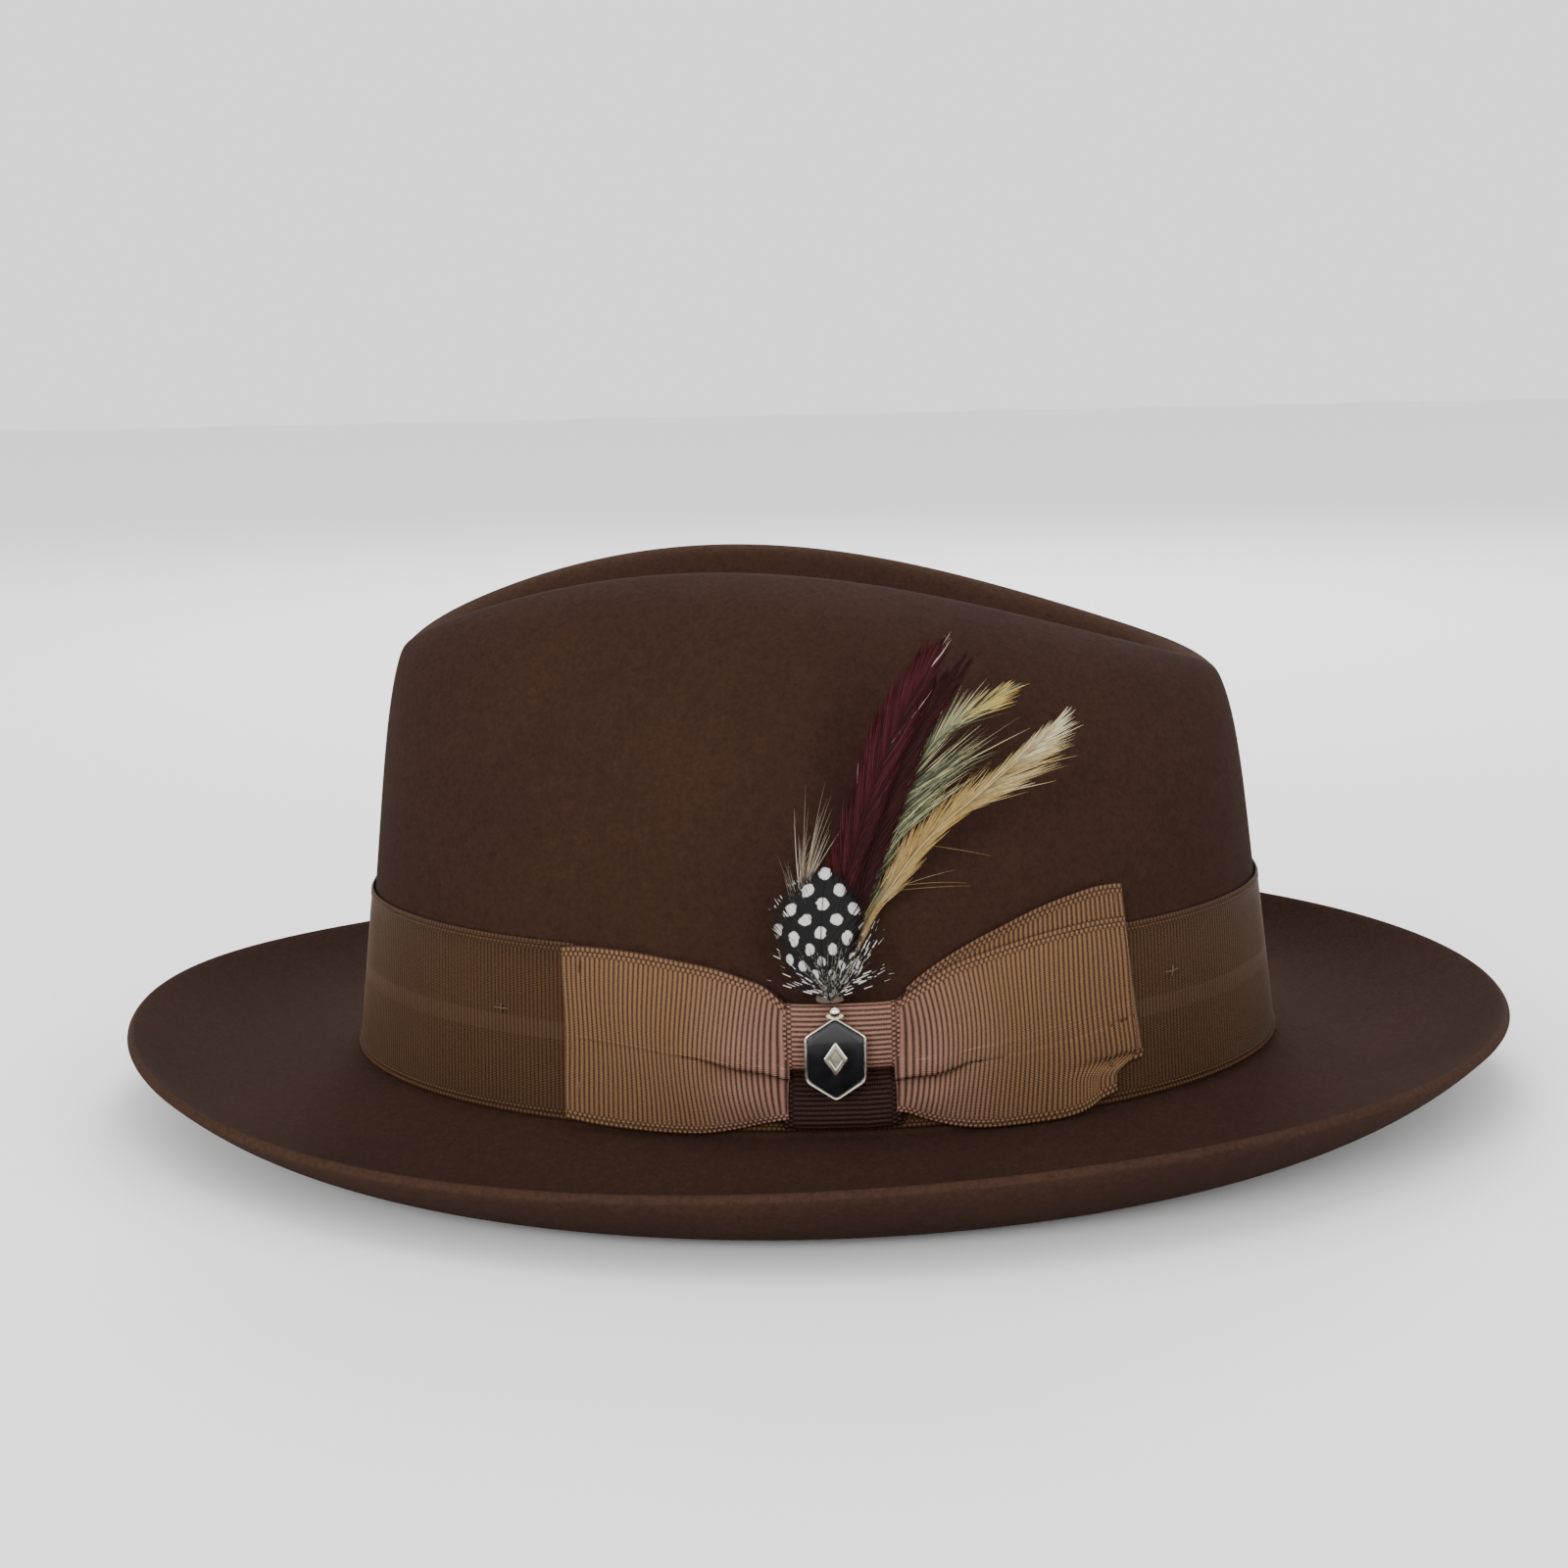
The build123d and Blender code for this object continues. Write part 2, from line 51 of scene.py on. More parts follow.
# ---- dimensions shared with the CAD model (mm) -----------------------------------------------
FELT = 2.2
BASE_X, BASE_Y = 87.15, 103.85
BRIM_X, BRIM_Y = 143.4, 153.9
BREAK_Z = -1.0
CREST_X, CREST_Y, CREST_SHIFT = 35.5, 89.8, -0.6
FLOOR_Y = 79.0
DENT_MIDDLE, DENT_END = 22.0, 5.5
RISE_SIDE, RISE_END = 2.3, 12.0
TAPER_SIDE, TAPER_END = 0.054, 0.125
DOME_SIDE, DOME_END = 3.5, 8.0
LIP_SIDE, LIP_END = 15.0, 1.0
PINCH_Y, PINCH_Z, PINCH_DEPTH = -45.0, 84.0, 4.0
PINCH_LONG, PINCH_HIGH = 17.0, 13.0
CREST_SOFT, BREAK_SOFT, END_SOFTER = 2.3, 0.7, 0.9
BAND_LOW, BAND_HIGH, BAND_OUT = 0.3, 36.6, 0.4
LINING_IN, SEAM_SHARE = 2.85, 6 / 25        # the lining's depth below the felt's skin, and its seam's place
KNOT_FROM, KNOT_TO = -7.6, 16.0
QUILL_FOOT, VANE_LOW = 18.0, 29.5
RIB, BEAD, WARP = 1.0, 0.95, 0.33           # pitch of the grosgrain's ribs, its edge's rows and its warp
CLOTH, LINING = 0.3, 0.25                   # thickness of ribbon or tape, and of the satin
BACK_RADIUS = 100.0                         # turns millimetres into an angle at the centre back
SHADED_BELOW = 13.8                         # height below which the knot's turned-in lower half takes a darker copy of its ribbon, a painted shade
DOWNY = 60.0                                # a dot column far beyond the vane, which marks down

BAND_TOP = ([-50, -44, -36, -24, -15, -9, -7.6, 16, 19, 28, 34],
            [36.6, 35, 34.5, 32.5, 29.8, 27, 25.5, 25.5, 27, 32.5, 36.6])    # y and height on the bow's side

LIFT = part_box("band_ribbon")[0].z / MM - BAND_LOW


# ---- camera, light and floor -----------------------------------------------------------------
def set_camera():
    data = bpy.data.cameras.new("camera")
    data.lens, data.sensor_width = 63.4, 36.0
    data.clip_end = 20
    camera = bpy.data.objects.new("camera", data)
    right = Vector((0, 0.99978, -0.02105))
    up = Vector((-0.16918, 0.02074, 0.98536))
    camera.matrix_world = Matrix.Translation((0.620, -0.0042, (162.1 + LIFT) * MM)) @ Matrix(
        (right, up, right.cross(up))).transposed().to_4x4()
    bpy.context.scene.collection.objects.link(camera)
    bpy.context.scene.camera = camera


def area_light(name, place, aim, size, power, colour=(1, 1, 1)):
    data = bpy.data.lights.new(name, "AREA")
    data.shape, data.size, data.energy, data.color = "DISK", size, power, colour
    light = bpy.data.objects.new(name, data)
    direction = Vector(aim) - Vector(place)
    light.matrix_world = Matrix.Translation(place) @ direction.to_track_quat("-Z", "Y").to_matrix().to_4x4()
    bpy.context.scene.collection.objects.link(light)


def set_light():
    world = bpy.data.worlds.new("studio")
    world.use_nodes = True
    world.node_tree.nodes["Background"].inputs["Color"].default_value = (1, 1, 1, 1)
    world.node_tree.nodes["Background"].inputs["Strength"].default_value = 1.5
    bpy.context.scene.world = world
    area_light("overhead", (-0.1, 0, 1.6), (0, 0, 0.05), 1.0, 5)
    area_light("front_left", (1.3, -0.8, 0.55), (0.05, 0, 0.05), 0.7, 17)
    area_light("front_right", (1.3, 0.9, 0.5), (0.05, 0, 0.05), 0.7, 9)
    area_light("behind", (-1.2, 0.1, 0.9), (0, 0, 0.1), 0.6, 14)


def make_floor():
    half, gap = 4.0, 0.0003
    mesh = bpy.data.meshes.new("floor")
    corners = [(-half, -half, 0), (half, -half, 0), (half, half, 0), (-half, half, 0)]
    mesh.from_pydata(corners, [], [(0, 1, 2, 3)])
    mesh.materials.append(Material("floor_pale").finish(grey(0.86), 0.9))
    floor = bpy.data.objects.new("floor", mesh)
    bpy.context.scene.collection.objects.link(floor)
    floor.location.z = -gap


# ---- materials -------------------------------------------------------------------------------
def grey(value):
    return (value, value, value)


class Material:
    """A principled material and the nodes that feed it; noise is in object coordinates, per metre."""

    def __init__(self, name):
        self.material = bpy.data.materials.new(name)
        self.material.use_nodes = True
        self.tree = self.material.node_tree

    def feed(self, socket, value):
        """Link an output to a socket, or set the socket's own value."""
        if hasattr(value, "is_output"):
            self.tree.links.new(value, socket)
        elif isinstance(value, tuple) and socket.type == "RGBA":
            socket.default_value = (*value, 1)
        else:
            socket.default_value = value

    def node(self, kind, inputs=(), **settings):
        made = self.tree.nodes.new("ShaderNode" + kind)
        for key, value in settings.items():
            setattr(made, key, value)
        for socket, value in dict(inputs).items():
            self.feed(made.inputs[socket], value)
        return made

    def maths(self, operation, *values):
        return self.node("Math", enumerate(values), operation=operation).outputs[0]

    def ramp(self, source, *stops):
        """A colour ramp: stops are (position, colour)."""
        made = self.node("ValToRGB", {"Fac": source})
        elements = made.color_ramp.elements
        while len(elements) < len(stops):
            elements.new(0.5)
        for element, (position, colour) in zip(elements, stops):
            element.position, element.color = position, (*colour, 1)
        return made.outputs["Color"]

    def mix(self, factor, first, second, blend="MIX"):
        return self.node("Mix", {"Factor": factor, 6: first, 7: second}, data_type="RGBA",
                         blend_type=blend).outputs[2]

    def place(self):
        return self.node("TexCoord").outputs["Object"]

    def noise(self, scale, detail=3, rough=0.5, stretch=None):
        place = self.place()
        if stretch:
            place = self.node("Mapping", {"Vector": place, "Scale": stretch}).outputs["Vector"]
        inputs = {"Vector": place, "Scale": scale, "Detail": detail, "Roughness": rough}
        return self.node("TexNoise", inputs).outputs["Fac"]

    def cloth(self):
        """The two values of a piece's own UV layer."""
        layer = self.node("UVMap", uv_map="cloth").outputs["UV"]
        split = self.node("SeparateXYZ", {"Vector": layer})
        return split.outputs["X"], split.outputs["Y"]

    def bump(self, height, distance, strength):
        made = self.node("Bump", {"Height": height, "Distance": distance, "Strength": strength})
        self.feed(self.tree.nodes["Principled BSDF"].inputs["Normal"], made.outputs["Normal"])

    def finish(self, colour, rough, **others):
        """Set the shader's sockets, the others by name with _ for a space, and return the material."""
        sockets = {"Base_Color": colour, "Roughness": rough, **others}
        for name, value in sockets.items():
            self.feed(self.tree.nodes["Principled BSDF"].inputs[name.replace("_", " ")], value)
        return self.material


def felt_material():
    """Wool felt: a mottled brown with a short matt nap, paler where the layer's first value is high: a
    painted highlight along the crest and the brim's raw edge.
    """
    felt = Material("wool_felt")
    fine = felt.noise(900, 5, 0.75)
    body = felt.ramp(felt.noise(22, 4, 0.6), (0.3, (0.0230, 0.0112, 0.0074)),
                     (0.55, (0.0260, 0.0126, 0.0081)), (0.75, (0.0290, 0.0139, 0.0088)))
    fleck = felt.ramp(fine, (0.3, (0.72, 0.72, 0.74)), (0.5, grey(1)), (0.72, (1.28, 1.23, 1.18)))
    patch = felt.ramp(felt.noise(330, 4, 0.7), (0.34, (0.90, 0.91, 0.92)), (0.66, (1.05, 1.05, 1.04)))
    colour = felt.mix(1.0, felt.mix(1.0, body, fleck, "MULTIPLY"), patch, "MULTIPLY")
    wear_and_highlight, _ = felt.cloth()
    # A lighter brown along the crest and the raw edge: painted highlight.
    painted_highlight = felt.maths("MULTIPLY", wear_and_highlight, felt.maths("MULTIPLY_ADD", fine, 1.4, -0.1))
    colour = felt.mix(painted_highlight, colour, (0.064, 0.035, 0.023))
    fibres = felt.noise(700, 4, 0.8, (1.0, 1.6, 3.0))
    felt.bump(felt.maths("ADD", felt.noise(1500, 6, 0.75), fibres), 0.00018, 0.75)
    return felt.finish(colour, 0.92, Specular_IOR_Level=0.04)


def ribbon_material(name, dark, gold, rose, centre=None, reach=0.03):
    """Grosgrain: the layer holds the way along the ribbon and the distance from its edge, in mm."""
    ribbon = Material(name)
    maths = ribbon.maths
    along, edge = ribbon.cloth()
    # The ribs' grooves and the gaps between the edge's rows of loops take the dark colour, their tops the
    # crest colours: painted shade and painted highlight over the real relief.
    turn = maths("MULTIPLY", along, 2 * math.pi / RIB)
    cord = maths("MULTIPLY_ADD", maths("COSINE", turn), 0.5, 0.5)
    row = maths("FLOOR", maths("DIVIDE", edge, BEAD))
    bead = maths("MULTIPLY_ADD", maths("COSINE", maths("MULTIPLY_ADD", row, math.pi, turn)), 0.6, 0.5)
    bead = maths("MULTIPLY", bead, maths("ABSOLUTE", maths("SINE", maths("MULTIPLY", edge, math.pi / BEAD))))
    woven = maths("MAXIMUM", 0.0, maths("MINIMUM", 1.0, maths("MULTIPLY_ADD", edge, -4.0, 8.0)))
    shade = maths("MULTIPLY_ADD", maths("SUBTRACT", bead, cord), woven, cord)
    broad = ribbon.noise(30, 3, 0.5)
    if centre is None:
        crest = ribbon.ramp(broad, (0.35, rose), (0.6, gold))
    else:
        # Towards the knot the crests turn rose: a painted sheen colour of the shot ribbon, set by distance
        # from the knot; elsewhere the tone varies at random.
        gap = ribbon.node("VectorMath", {0: ribbon.place(), 1: centre}, operation="DISTANCE")
        near = maths("MULTIPLY_ADD", broad, 0.6, maths("DIVIDE", gap.outputs["Value"], reach))
        crest = ribbon.ramp(maths("MULTIPLY", near, 0.5), (0.35, rose), (0.75, gold))
    grain = ribbon.noise(1800, 3, 0.7)
    warp = maths("SINE", maths("MULTIPLY", edge, 2 * math.pi / WARP))
    shade = maths("ADD", maths("MULTIPLY_ADD", warp, 0.07, shade), maths("MULTIPLY_ADD", grain, 0.5, -0.25))
    colour = ribbon.mix(maths("SMOOTH_MIN", shade, 1.0, 0.2), dark, crest)
    ribbon.bump(maths("MULTIPLY_ADD", grain, 1.5, warp), 0.00006, 0.8)
    return ribbon.finish(colour, 0.48, Specular_IOR_Level=0.14)


def plain_cloth(name, light, dark, scale, rough=0.7, sheen=0.2, weave=0.00005, stretch=None):
    """A thread, tape or satin: two tones from fine noise, with its own small relief."""
    cloth = Material(name)
    tone = cloth.noise(scale, 4, 0.6, stretch)
    both = cloth.maths("MULTIPLY_ADD", cloth.noise(40, 2, 0.5), 0.4, cloth.maths("MULTIPLY", tone, 0.8))
    cloth.bump(tone, weave, 0.8)
    return cloth.finish(cloth.ramp(both, (0.35, dark), (0.8, light)), rough, Sheen_Weight=sheen)


def feather_material(name, shades, along, rough=0.42, shine=0.2):
    """Colour by the barb's tone, then lighter or darker along it."""
    vane = Material(name)
    way, tone = vane.cloth()
    colour = vane.mix(1.0, vane.ramp(tone, *shades), vane.ramp(way, *along), "MULTIPLY")
    fine = vane.noise(900, 2, 0.5)
    colour = vane.mix(0.5, colour, vane.ramp(fine, (0.3, grey(0.7)), (0.7, grey(1.2))), "MULTIPLY")
    vane.bump(fine, 0.00003, 0.6)
    return vane.finish(colour, rough, Specular_IOR_Level=shine)


def guinea_material():
    """Black with rows of white dots: the layer counts the dots' columns and rows from the vane's tip."""
    vane = Material("guinea_plume")
    maths = vane.maths
    column, row = vane.cloth()
    wobble = maths("MULTIPLY_ADD", vane.noise(700, 2, 0.5), 0.24, -0.12)
    offsets = []
    for operation in ("ADD", "SUBTRACT"):
        half = maths("MULTIPLY", maths(operation, column, row), 0.5)
        offsets.append(maths("WRAP", maths("ADD", half, wobble), 0.5, -0.5))
    wide = maths("ADD", *offsets)
    high = maths("MULTIPLY", maths("SUBTRACT", *offsets), 0.96)
    reach = maths("SQRT", maths("ADD", maths("POWER", wide, 2.0), maths("POWER", high, 2.0)))
    fine = vane.noise(1500, 2, 0.6)
    dots = vane.ramp(reach, (0.36, (0.46, 0.45, 0.43)), (0.43, (0.0042, 0.0038, 0.0040)))
    down = vane.ramp(fine, (0.45, (0.012, 0.009, 0.008)), (0.66, (0.20, 0.18, 0.155)))
    vane.bump(fine, 0.00003, 0.6)
    colour = vane.mix(maths("GREATER_THAN", column, DOWNY - 10), dots, down)
    return vane.finish(colour, 0.45, Specular_IOR_Level=0.12)


def metal_material(name, colour, rough):
    metal = Material(name)
    wear_and_highlight = metal.noise(600, 4, 0.6)
    tone = metal.ramp(wear_and_highlight, (0.3, tuple(0.72 * c for c in colour)), (0.65, colour))
    metal.bump(wear_and_highlight, 0.00001, 0.5)
    polish = metal.ramp(wear_and_highlight, (0.3, grey(rough + 0.14)), (0.7, grey(rough)))
    return metal.finish(tone, polish, Metallic=1.0)


def enamel_material():
    enamel = Material("black_enamel")
    cloud = enamel.noise(300, 3, 0.5)
    tone = enamel.ramp(cloud, (0.3, (0.0025, 0.0025, 0.003)), (0.7, (0.007, 0.007, 0.009)))
    return enamel.finish(tone, enamel.ramp(cloud, (0.3, grey(0.12)), (0.7, grey(0.18))), Coat_Weight=0.2)


def leather_material():
    leather = Material("sweatband_leather")
    broad = leather.noise(35, 4, 0.6)
    cells = leather.node("TexVoronoi", {"Vector": leather.place(), "Scale": 1100.0}).outputs["Distance"]
    body = leather.ramp(broad, (0.3, (0.105, 0.048, 0.022)), (0.7, (0.165, 0.080, 0.038)))
    grain = leather.ramp(cells, (0.1, grey(0.72)), (0.5, grey(1.05)))
    pores = leather.maths("MULTIPLY", leather.noise(2200, 3, 0.6), 0.4)
    leather.bump(leather.maths("ADD", cells, pores), 0.00008, 0.7)
    return leather.finish(leather.mix(1.0, body, grain, "MULTIPLY"),
                          leather.ramp(broad, (0.3, grey(0.42)), (0.7, grey(0.56))))


def reed_material():
    reed = Material("reed_plastic")
    tone = reed.noise(500, 3, 0.5)
    reed.bump(tone, 0.00003, 0.5)
    return reed.finish(reed.ramp(tone, (0.3, (0.10, 0.052, 0.026)), (0.7, (0.15, 0.080, 0.042))), 0.38)


def satin_material():
    satin = Material("lining_satin")
    weft = satin.noise(900, 3, 0.6, (1, 1, 8))
    both = satin.maths("MULTIPLY_ADD", weft, 0.5, satin.maths("MULTIPLY", satin.noise(25, 3, 0.5), 0.5))
    satin.bump(weft, 0.00004, 0.5)
    return satin.finish(satin.ramp(both, (0.3, (0.070, 0.036, 0.020)), (0.7, (0.150, 0.082, 0.046))),
                        0.30, Anisotropic=0.5, Sheen_Weight=0.2)


# ---- mesh helpers ----------------------------------------------------------------------------
def circle(count):
    """Evenly spaced angles all the way round."""
    return np.linspace(0, 2 * np.pi, count, endpoint=False)


def make_piece(name, points, faces, material, node, body="hat", uv=None, smooth=True):
    """A piece from points in mm above the band's lower edge; uv has one pair per point."""
    mesh = bpy.data.meshes.new(name)
    placed = (np.asarray(points, float).reshape(-1, 3) + [0, 0, LIFT]) * MM
    mesh.from_pydata(placed.tolist(), [], [list(map(int, face)) for face in faces])
    if uv is not None:
        layer = mesh.uv_layers.new(name="cloth")
        loops = np.zeros(len(mesh.loops), np.int32)
        mesh.loops.foreach_get("vertex_index", loops)
        layer.data.foreach_set("uv", np.asarray(uv, np.float32).reshape(-1, 2)[loops].ravel())
    mesh.validate()
    mesh.materials.append(material)
    mesh.polygons.foreach_set("use_smooth", [smooth] * len(mesh.polygons))
    piece = bpy.data.objects.new(name, mesh)
    bpy.context.scene.collection.objects.link(piece)
    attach(piece, body)
    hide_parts(node)
    return piece


def grid_faces(rows, columns, close_rows=False, close_columns=False):
    i = np.arange(rows if close_rows else rows - 1)
    j = np.arange(columns if close_columns else columns - 1)
    i, j = (a.ravel() for a in np.meshgrid(i, j, indexing="ij"))
    i2, j2 = (i + 1) % rows, (j + 1) % columns
    return np.stack([i * columns + j, i2 * columns + j, i2 * columns + j2, i * columns + j2], 1)


def pairs(first, second):
    return np.stack(np.broadcast_arrays(first, second), -1)


def thicken(piece, thickness, offset=-1.0):
    modifier = piece.modifiers.new("thickness", "SOLIDIFY")
    modifier.thickness, modifier.offset = thickness * MM, offset


def tube(points, radius, sides=8, closed=False):
    """Points and faces of a round tube along a line; radius may vary along it."""
    line = np.asarray(points, float)
    count = len(line)
    if closed:
        ahead = np.roll(line, -1, 0) - np.roll(line, 1, 0)
    else:
        ahead = np.gradient(line, axis=0)
    ahead /= np.linalg.norm(ahead, axis=1, keepdims=True)
    side = np.cross(ahead, [1.0, 0.02, 0.03])
    side /= np.linalg.norm(side, axis=1, keepdims=True)
    other = np.cross(ahead, side)
    angle = circle(sides)
    size = np.broadcast_to(np.asarray(radius, float), (count,))[:, None, None]
    ring = (np.cos(angle)[None, :, None] * side[:, None] + np.sin(angle)[None, :, None] * other[:, None])
    vertices = (line[:, None] + size * ring).reshape(-1, 3)
    faces = grid_faces(count, sides, closed, True).tolist()
    if not closed:
        faces += [list(range(sides))[::-1], list(range((count - 1) * sides, count * sides))]
    return vertices, faces


def joined(parts):
    """One list of points and faces from several."""
    points, faces, start = [], [], 0
    for some, theirs in parts:
        points.append(np.asarray(some))
        faces += [[start + k for k in face] for face in theirs]
        start += len(some)
    return np.vstack(points), faces


def run_along(line):
    """Distance along a line of points at each of them."""
    return np.append(0, np.cumsum(np.linalg.norm(np.diff(line, axis=0), axis=1)))


def bell(value, centre, width):
    return np.exp(-((value - centre) / width) ** 2)


def climb(value, start, stretch):
    """0 up to the start, then evenly to 1 over the stretch."""
    return np.clip((value - start) / stretch, 0, 1)


def smooth_line(points, count):
    """Evenly spaced points on a smooth curve through the given ones."""
    knots = np.asarray(points, float)
    run = run_along(knots)
    slope = np.gradient(knots, run, axis=0)
    stops = np.linspace(0, run[-1], count)
    i = np.clip(np.searchsorted(run, stops, side="right") - 1, 0, len(knots) - 2)
    gap = (run[i + 1] - run[i])[:, None]
    t = (stops - run[i])[:, None] / gap
    return ((2 * t**3 - 3 * t**2 + 1) * knots[i] + (t**3 - 2 * t**2 + t) * gap * slope[i]
            + (3 * t**2 - 2 * t**3) * knots[i + 1] + (t**3 - t**2) * gap * slope[i + 1])


def eased(at, places, values):
    """A smooth curve through the values at the given places, read at other places."""
    line = smooth_line(np.column_stack([places, values]), 300)
    return np.interp(at, line[:, 0], line[:, 1])


# ---- the felt's shape, as in the CAD model ---------------------------------------------------
def mix(angle, side, end, power=2):
    return side + (end - side) * np.abs(np.cos(angle)) ** power


def crest_height(y):
    u = (y - CREST_SHIFT) / CREST_Y
    return 107.1 - 10.3 * u - 20.65 * u**2 + 6.1 * u**3 + 2.36 * u**4


def dent_floor(y):
    share = 1 - np.minimum(1, np.abs(y / FLOOR_Y)) ** 2
    return crest_height(y) - DENT_END - (DENT_MIDDLE - DENT_END) * share


def base_point(angle):
    return np.array([BASE_X * np.sin(angle), BASE_Y * np.cos(angle)])


def crest_point(angle):
    return np.array([CREST_X * np.sin(angle), CREST_SHIFT + CREST_Y * np.cos(angle)])


def wall_inset(angle, z):
    step = base_point(angle) - crest_point(angle)
    span = np.linalg.norm(step, axis=0)
    top = crest_height(crest_point(angle)[1])
    lip = mix(angle, LIP_SIDE, LIP_END)
    taper = mix(angle, TAPER_SIDE, TAPER_END)
    dome = mix(angle, DOME_SIDE, DOME_END, 4)
    width = span + lip - taper * top
    apex = top / (1 - (lip / width) ** 2) ** (1 / dome)
    share = np.clip(z / apex, 0, 1)
    return taper * z + width * (1 - np.sqrt(1 - share**dome))


def wall_point(angle, z, out=0.0):
    """Points at a distance `out` from the felt's outer wall; angle, z and out may be arrays."""
    angle, z, out = np.broadcast_arrays(*(np.asarray(v, float) for v in (angle, z, out)))
    low = np.maximum(z, 0)
    base = base_point(angle)
    inward = crest_point(angle) - base
    inward = inward / np.linalg.norm(inward, axis=0)
    outward = np.array([np.sin(angle) / BASE_X, np.cos(angle) / BASE_Y])
    outward = outward / np.linalg.norm(outward, axis=0)
    x, y = base + inward * wall_inset(angle, low) + outward * out
    return np.stack([x, y, z], -1)


def angle_at(y, z=15.0):
    """The angle of the wall's point at a given y, on the bow's side."""
    angles = np.linspace(0.05, 3.09, 400)
    places = wall_point(angles, z)[:, 1]
    return np.interp(-np.asarray(y, float), -places, angles)


def on_side(y, z, out):
    """Points near the wall on the bow's side, from y, height and distance."""
    y, z, out = np.broadcast_arrays(*(np.asarray(v, float) for v in (y, z, out)))
    angle = angle_at(y)
    for _ in range(3):
        error = wall_point(angle, z, out)[..., 1] - y
        angle = angle + error / (BASE_Y * np.maximum(np.sin(angle), 0.2))
    return wall_point(angle, z, out)


def dent_line(angle, count=60):
    crest, centre = crest_point(angle), np.array([0.0, CREST_SHIFT])
    share = np.linspace(0.0, 1, count)[:-1]
    plan = centre + (crest - centre) * share[:, None]
    floor = dent_floor(plan[:, 1])
    rise = mix(angle, RISE_SIDE, RISE_END, 6)
    return np.column_stack([plan, floor + (crest_height(crest[1]) - floor) * share**rise])


def rim_height(angle):
    return sum(size * np.cos(turn * angle) for turn, size in enumerate((6.8, 0.98, 1.35, -1.44, 0.38)))


def brim_line(angle):
    start, end = base_point(angle), np.array([BRIM_X * np.sin(angle), BRIM_Y * np.cos(angle)])
    width = np.linalg.norm(end - start)
    fall = 0.246 - 0.019 * np.cos(2 * angle)
    curl = 3.66 - 0.79 * np.cos(2 * angle)
    share = np.linspace(0, 1, 140)
    plan = start + (end - start) * share[:, None]
    height = BREAK_Z * (1 - share) - fall * width * share + (rim_height(angle) + fall * width) * share**curl
    return np.column_stack([plan, height])


def graded(even):
    """Even shares of the wall, drawn closer together at both its ends."""
    return 0.2 * even + 0.8 * (0.5 - 0.5 * np.cos(np.pi * even))


def felt_section(angle, dent_count, wall_count, brim_count):
    top = crest_height(crest_point(angle)[1])
    wall = wall_point(angle, top * (1 - np.linspace(0, 1, 300) ** 2))
    foot = wall[-1] + [0, 0, BREAK_Z / 2]
    dent = dent_line(angle)
    raw = np.vstack([dent, wall, foot, brim_line(angle)])
    run = run_along(raw)
    crest, corner, end = run[len(dent)], run[len(dent) + len(wall) + 1], run[-1]
    stops = np.concatenate([np.linspace(0, crest, dent_count)[:-1],
                            crest + (corner - crest) * graded(np.linspace(0, 1, wall_count))[:-1],
                            corner + (end - corner) * np.linspace(0, 1, brim_count) ** 1.5])
    rounder = 1 + END_SOFTER * np.abs(np.cos(angle)) ** 6
    soft = (CREST_SOFT * rounder * np.exp(-((stops - crest) / (9 * rounder**0.5)) ** 2)
            + BREAK_SOFT * bell(stops, corner, 4))
    soft = np.minimum(soft, np.minimum(stops, end - stops) / 2)
    offsets = np.linspace(-2, 2, 17)
    weights = np.exp(-offsets**2 / 2)
    weights /= weights.sum()
    section = np.zeros((len(stops), 3))
    for offset, weight in zip(offsets, weights):
        sample = np.clip(stops + offset * soft, 0, end)
        section += weight * np.column_stack([np.interp(sample, run, raw[:, k]) for k in range(3)])
    hollow = np.exp(-((section[:, 1] - PINCH_Y) / PINCH_LONG) ** 2
                    - ((section[:, 2] - PINCH_Z) / PINCH_HIGH) ** 2)
    fade = np.clip((np.abs(section[:, 0]) - CREST_X) / CREST_X, 0, 1)
    section[:, 0] -= np.sign(section[:, 0]) * PINCH_DEPTH * hollow * fade
    return section


def ring_normals(grid):
    """Normals of a surface closed along its first axis, pointing up and out."""
    along = np.roll(grid, -1, 0) - np.roll(grid, 1, 0)
    normals = np.cross(along, np.gradient(grid, axis=1))
    size = np.linalg.norm(normals, axis=2, keepdims=True)
    normals = np.where(size > 1e-6, normals / np.maximum(size, 1e-9), [0, 0, 1.0])
    normals *= np.sign(normals[0, -1, 2])
    normals[:, 0] = (0, 0, 1)
    return normals


DENT_ROWS, WALL_ROWS, BRIM_ROWS = 34, 90, 54
AROUND = circle(360)
SKIN = np.array([felt_section(angle, DENT_ROWS, WALL_ROWS, BRIM_ROWS) for angle in AROUND])
SKIN_NORMALS = ring_normals(SKIN)


